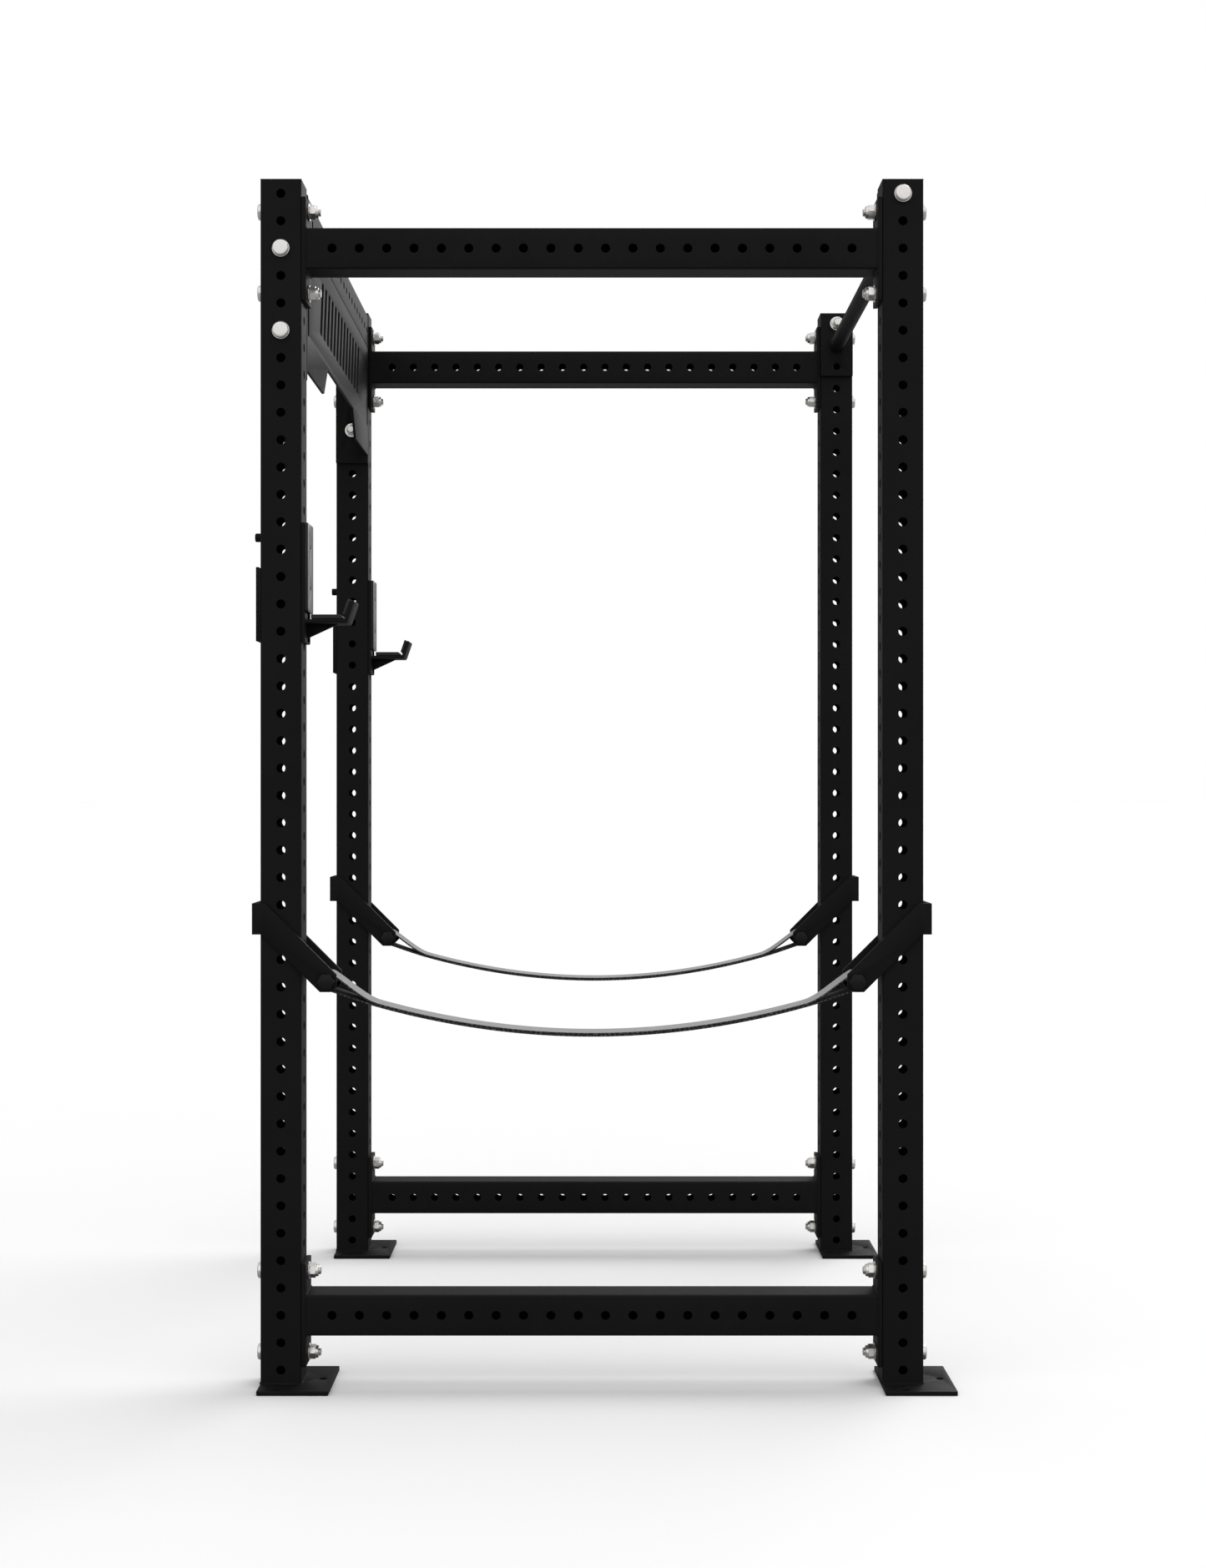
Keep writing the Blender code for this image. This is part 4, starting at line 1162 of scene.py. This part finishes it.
def webbing_mesh(name, path, centre_y, way):
    """Webbing swept along a path, with its texture laid out in metres, and the path's length."""
    section = webbing_section()
    count = len(section)
    work = bmesh.new()
    layer = work.loops.layers.uv.new("weave")
    travelled = 0.0
    rings = []
    for number, point in enumerate(path):
        before = path[max(number - 1, 0)]
        after = path[min(number + 1, len(path) - 1)]
        along = (after - before).normalized()
        travelled += (point - before).length
        normal = Vector((along.y, -along.x))
        ring = []
        for across, height in section:
            spot = point + normal * height
            ring.append(work.verts.new((CAGE_X + way * spot.x, centre_y + across, spot.y)))
        rings.append((ring, travelled))
    for (first, first_along), (second, second_along) in zip(rings, rings[1:]):
        for step in range(count):
            after = (step + 1) % count
            face = work.faces.new([first[step], first[after], second[after], second[step]])
            face.material_index = 0 if step < RIBS else 1
            on_edge = RIBS <= step < RIBS + 4 or step >= count - 4
            corners = ((step, first_along), (after, first_along), (after, second_along),
                       (step, second_along))
            for loop, (column, along) in zip(face.loops, corners):
                loop[layer].uv = (section[column][1 if on_edge else 0], along)
    for ring in (rings[0][0], rings[-1][0]):
        work.faces.new(ring)
    bmesh.ops.recalc_face_normals(work, faces=work.faces)
    mesh = bpy.data.meshes.new(name)
    work.to_mesh(mesh)
    work.free()
    mesh.shade_smooth()
    mesh.set_sharp_from_angle(angle=WEBBING_SHARP)
    mesh.materials.append(WEBBING)
    mesh.materials.append(WEBBING_EDGE)
    return mesh, travelled


def make_straps():
    """Each strap is a webbing loop in two halves that meet in the middle, one for each bracket."""
    for side in SIDES:
        for end, way in ENDS.items():
            bolt = strap_bolt_centre(end, side)
            centre_y = middle(f"upright_{end}_{side}").y
            path = strap_path(abs(bolt.x - CAGE_X), bolt.y)
            mesh, length = webbing_mesh(f"safety_strap_{side}_{end}_mesh", path, centre_y, way)
            strap = added(f"safety_strap_{side}_{end}_half", mesh)
            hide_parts(f"safety_strap_{side}")
            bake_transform(strap)


# ---------------------------------------------------------------- stage

FLOOR_HALF = 120.0
WHITE = (1.0, 1.0, 1.0, 1.0)


def make_stage():
    """A pale floor that runs out of sight."""
    work = bmesh.new()
    corners = rectangle((-FLOOR_HALF, -FLOOR_HALF), (FLOOR_HALF, FLOOR_HALF))
    add_face(work, [(across, along, 0.0) for across, along in corners])
    mesh = bpy.data.meshes.new("floor_mesh")
    work.to_mesh(mesh)
    work.free()
    floor = added("floor", mesh)
    material, shader = node_material("studio_floor", 0.7)
    shader.inputs["Base Color"].default_value = (0.88, 0.88, 0.88, 1.0)
    shader.inputs["Specular IOR Level"].default_value = 0.1
    dark = add_node(material, "ShaderNodeBsdfDiffuse")
    path = add_node(material, "ShaderNodeLightPath")
    bounce = add_node(material, "ShaderNodeMapRange", {"To Min": 0.10, "To Max": 0.36})
    link(material, path.outputs["Is Glossy Ray"], bounce.inputs["Value"])
    link(material, bounce.outputs["Result"], dark.inputs["Color"])
    camera_split(material, dark.outputs["BSDF"], shader.outputs["BSDF"], "Material Output")
    mesh.materials.append(material)


def camera_split(owner, unseen, seen, output):
    """Show one shader to the camera and another to every other ray, in a material or a world."""
    path = add_node(owner, "ShaderNodeLightPath")
    mix = add_node(owner, "ShaderNodeMixShader")
    link(owner, path.outputs["Is Camera Ray"], mix.inputs["Fac"])
    link(owner, unseen, mix.inputs[1])
    link(owner, seen, mix.inputs[2])
    link(owner, mix.outputs["Shader"], owner.node_tree.nodes[output].inputs["Surface"])


def sun(name, towards, spread, strength):
    """A soft light from far away, shining from a direction."""
    light = bpy.data.lights.new(name, "SUN")
    light.angle = math.radians(spread)
    light.energy = strength
    obj = added(name, light)
    obj.rotation_euler = Vector(towards).to_track_quat("Z", "Y").to_euler()
    return obj


def make_lights():
    """A soft key from the upper right behind, a gleam along the steel from behind, and a white surround."""
    sun("key", (0.48, 0.36, 0.80), 40, 1.15)
    sun("top", (0.0, 0.0, 1.0), 120, 0.5)
    gleam = sun("gleam", (0.42, 0.84, 0.34), 30, 0.65)
    gleam.visible_diffuse = False
    world = bpy.data.worlds.new("surround")
    bpy.context.scene.world = world
    world.use_nodes = True
    split = add_node(world, "ShaderNodeSeparateXYZ")
    link(world, add_node(world, "ShaderNodeTexCoord").outputs["Generated"], split.inputs["Vector"])
    shade = add_node(world, "ShaderNodeMapRange",
                     {"From Min": -0.9, "From Max": 0.6, "To Min": 1.05, "To Max": 0.48},
                     interpolation_type="SMOOTHSTEP")
    link(world, split.outputs["Y"], shade.inputs["Value"])
    surround = world.node_tree.nodes["Background"]
    surround.inputs["Color"].default_value = WHITE
    link(world, shade.outputs["Result"], surround.inputs["Strength"])
    backdrop = add_node(world, "ShaderNodeBackground", {"Color": WHITE, "Strength": 1.0})
    camera_split(world, surround.outputs["Background"], backdrop.outputs["Background"], "World Output")
    bpy.context.scene.view_settings.view_transform = "Standard"


CAMERA_DISTANCE = 4.583
CAMERA_HEIGHT = 1.1041
LENS = 50.0
SENSOR = 36.0


def make_camera():
    """A level camera square to the left side, aimed at the middle of the cage."""
    data = bpy.data.cameras.new("camera")
    data.lens = LENS
    data.sensor_fit = "VERTICAL"
    data.sensor_height = SENSOR
    data.clip_end = 200.0
    camera = added("camera", data)
    camera.location = (0.0, -CAMERA_DISTANCE, CAMERA_HEIGHT)
    camera.rotation_euler = (math.radians(90), 0, 0)
    bpy.context.scene.camera = camera


def finish_cad_nodes():
    """The CAD nodes that stay in view get the powder coat."""
    for end in ENDS:
        for side in SIDES:
            cap = frame["nodes"][f"top_cap_{end}_{side}"]
            cap.data.materials.clear()
            cap.data.materials.append(POWDER)


make_camera()
make_uprights()
make_crossmembers()
make_header()
make_pull_up_bar()
make_bolts()
make_j_hooks()
make_strap_brackets()
make_straps()
finish_cad_nodes()
make_stage()
make_lights()
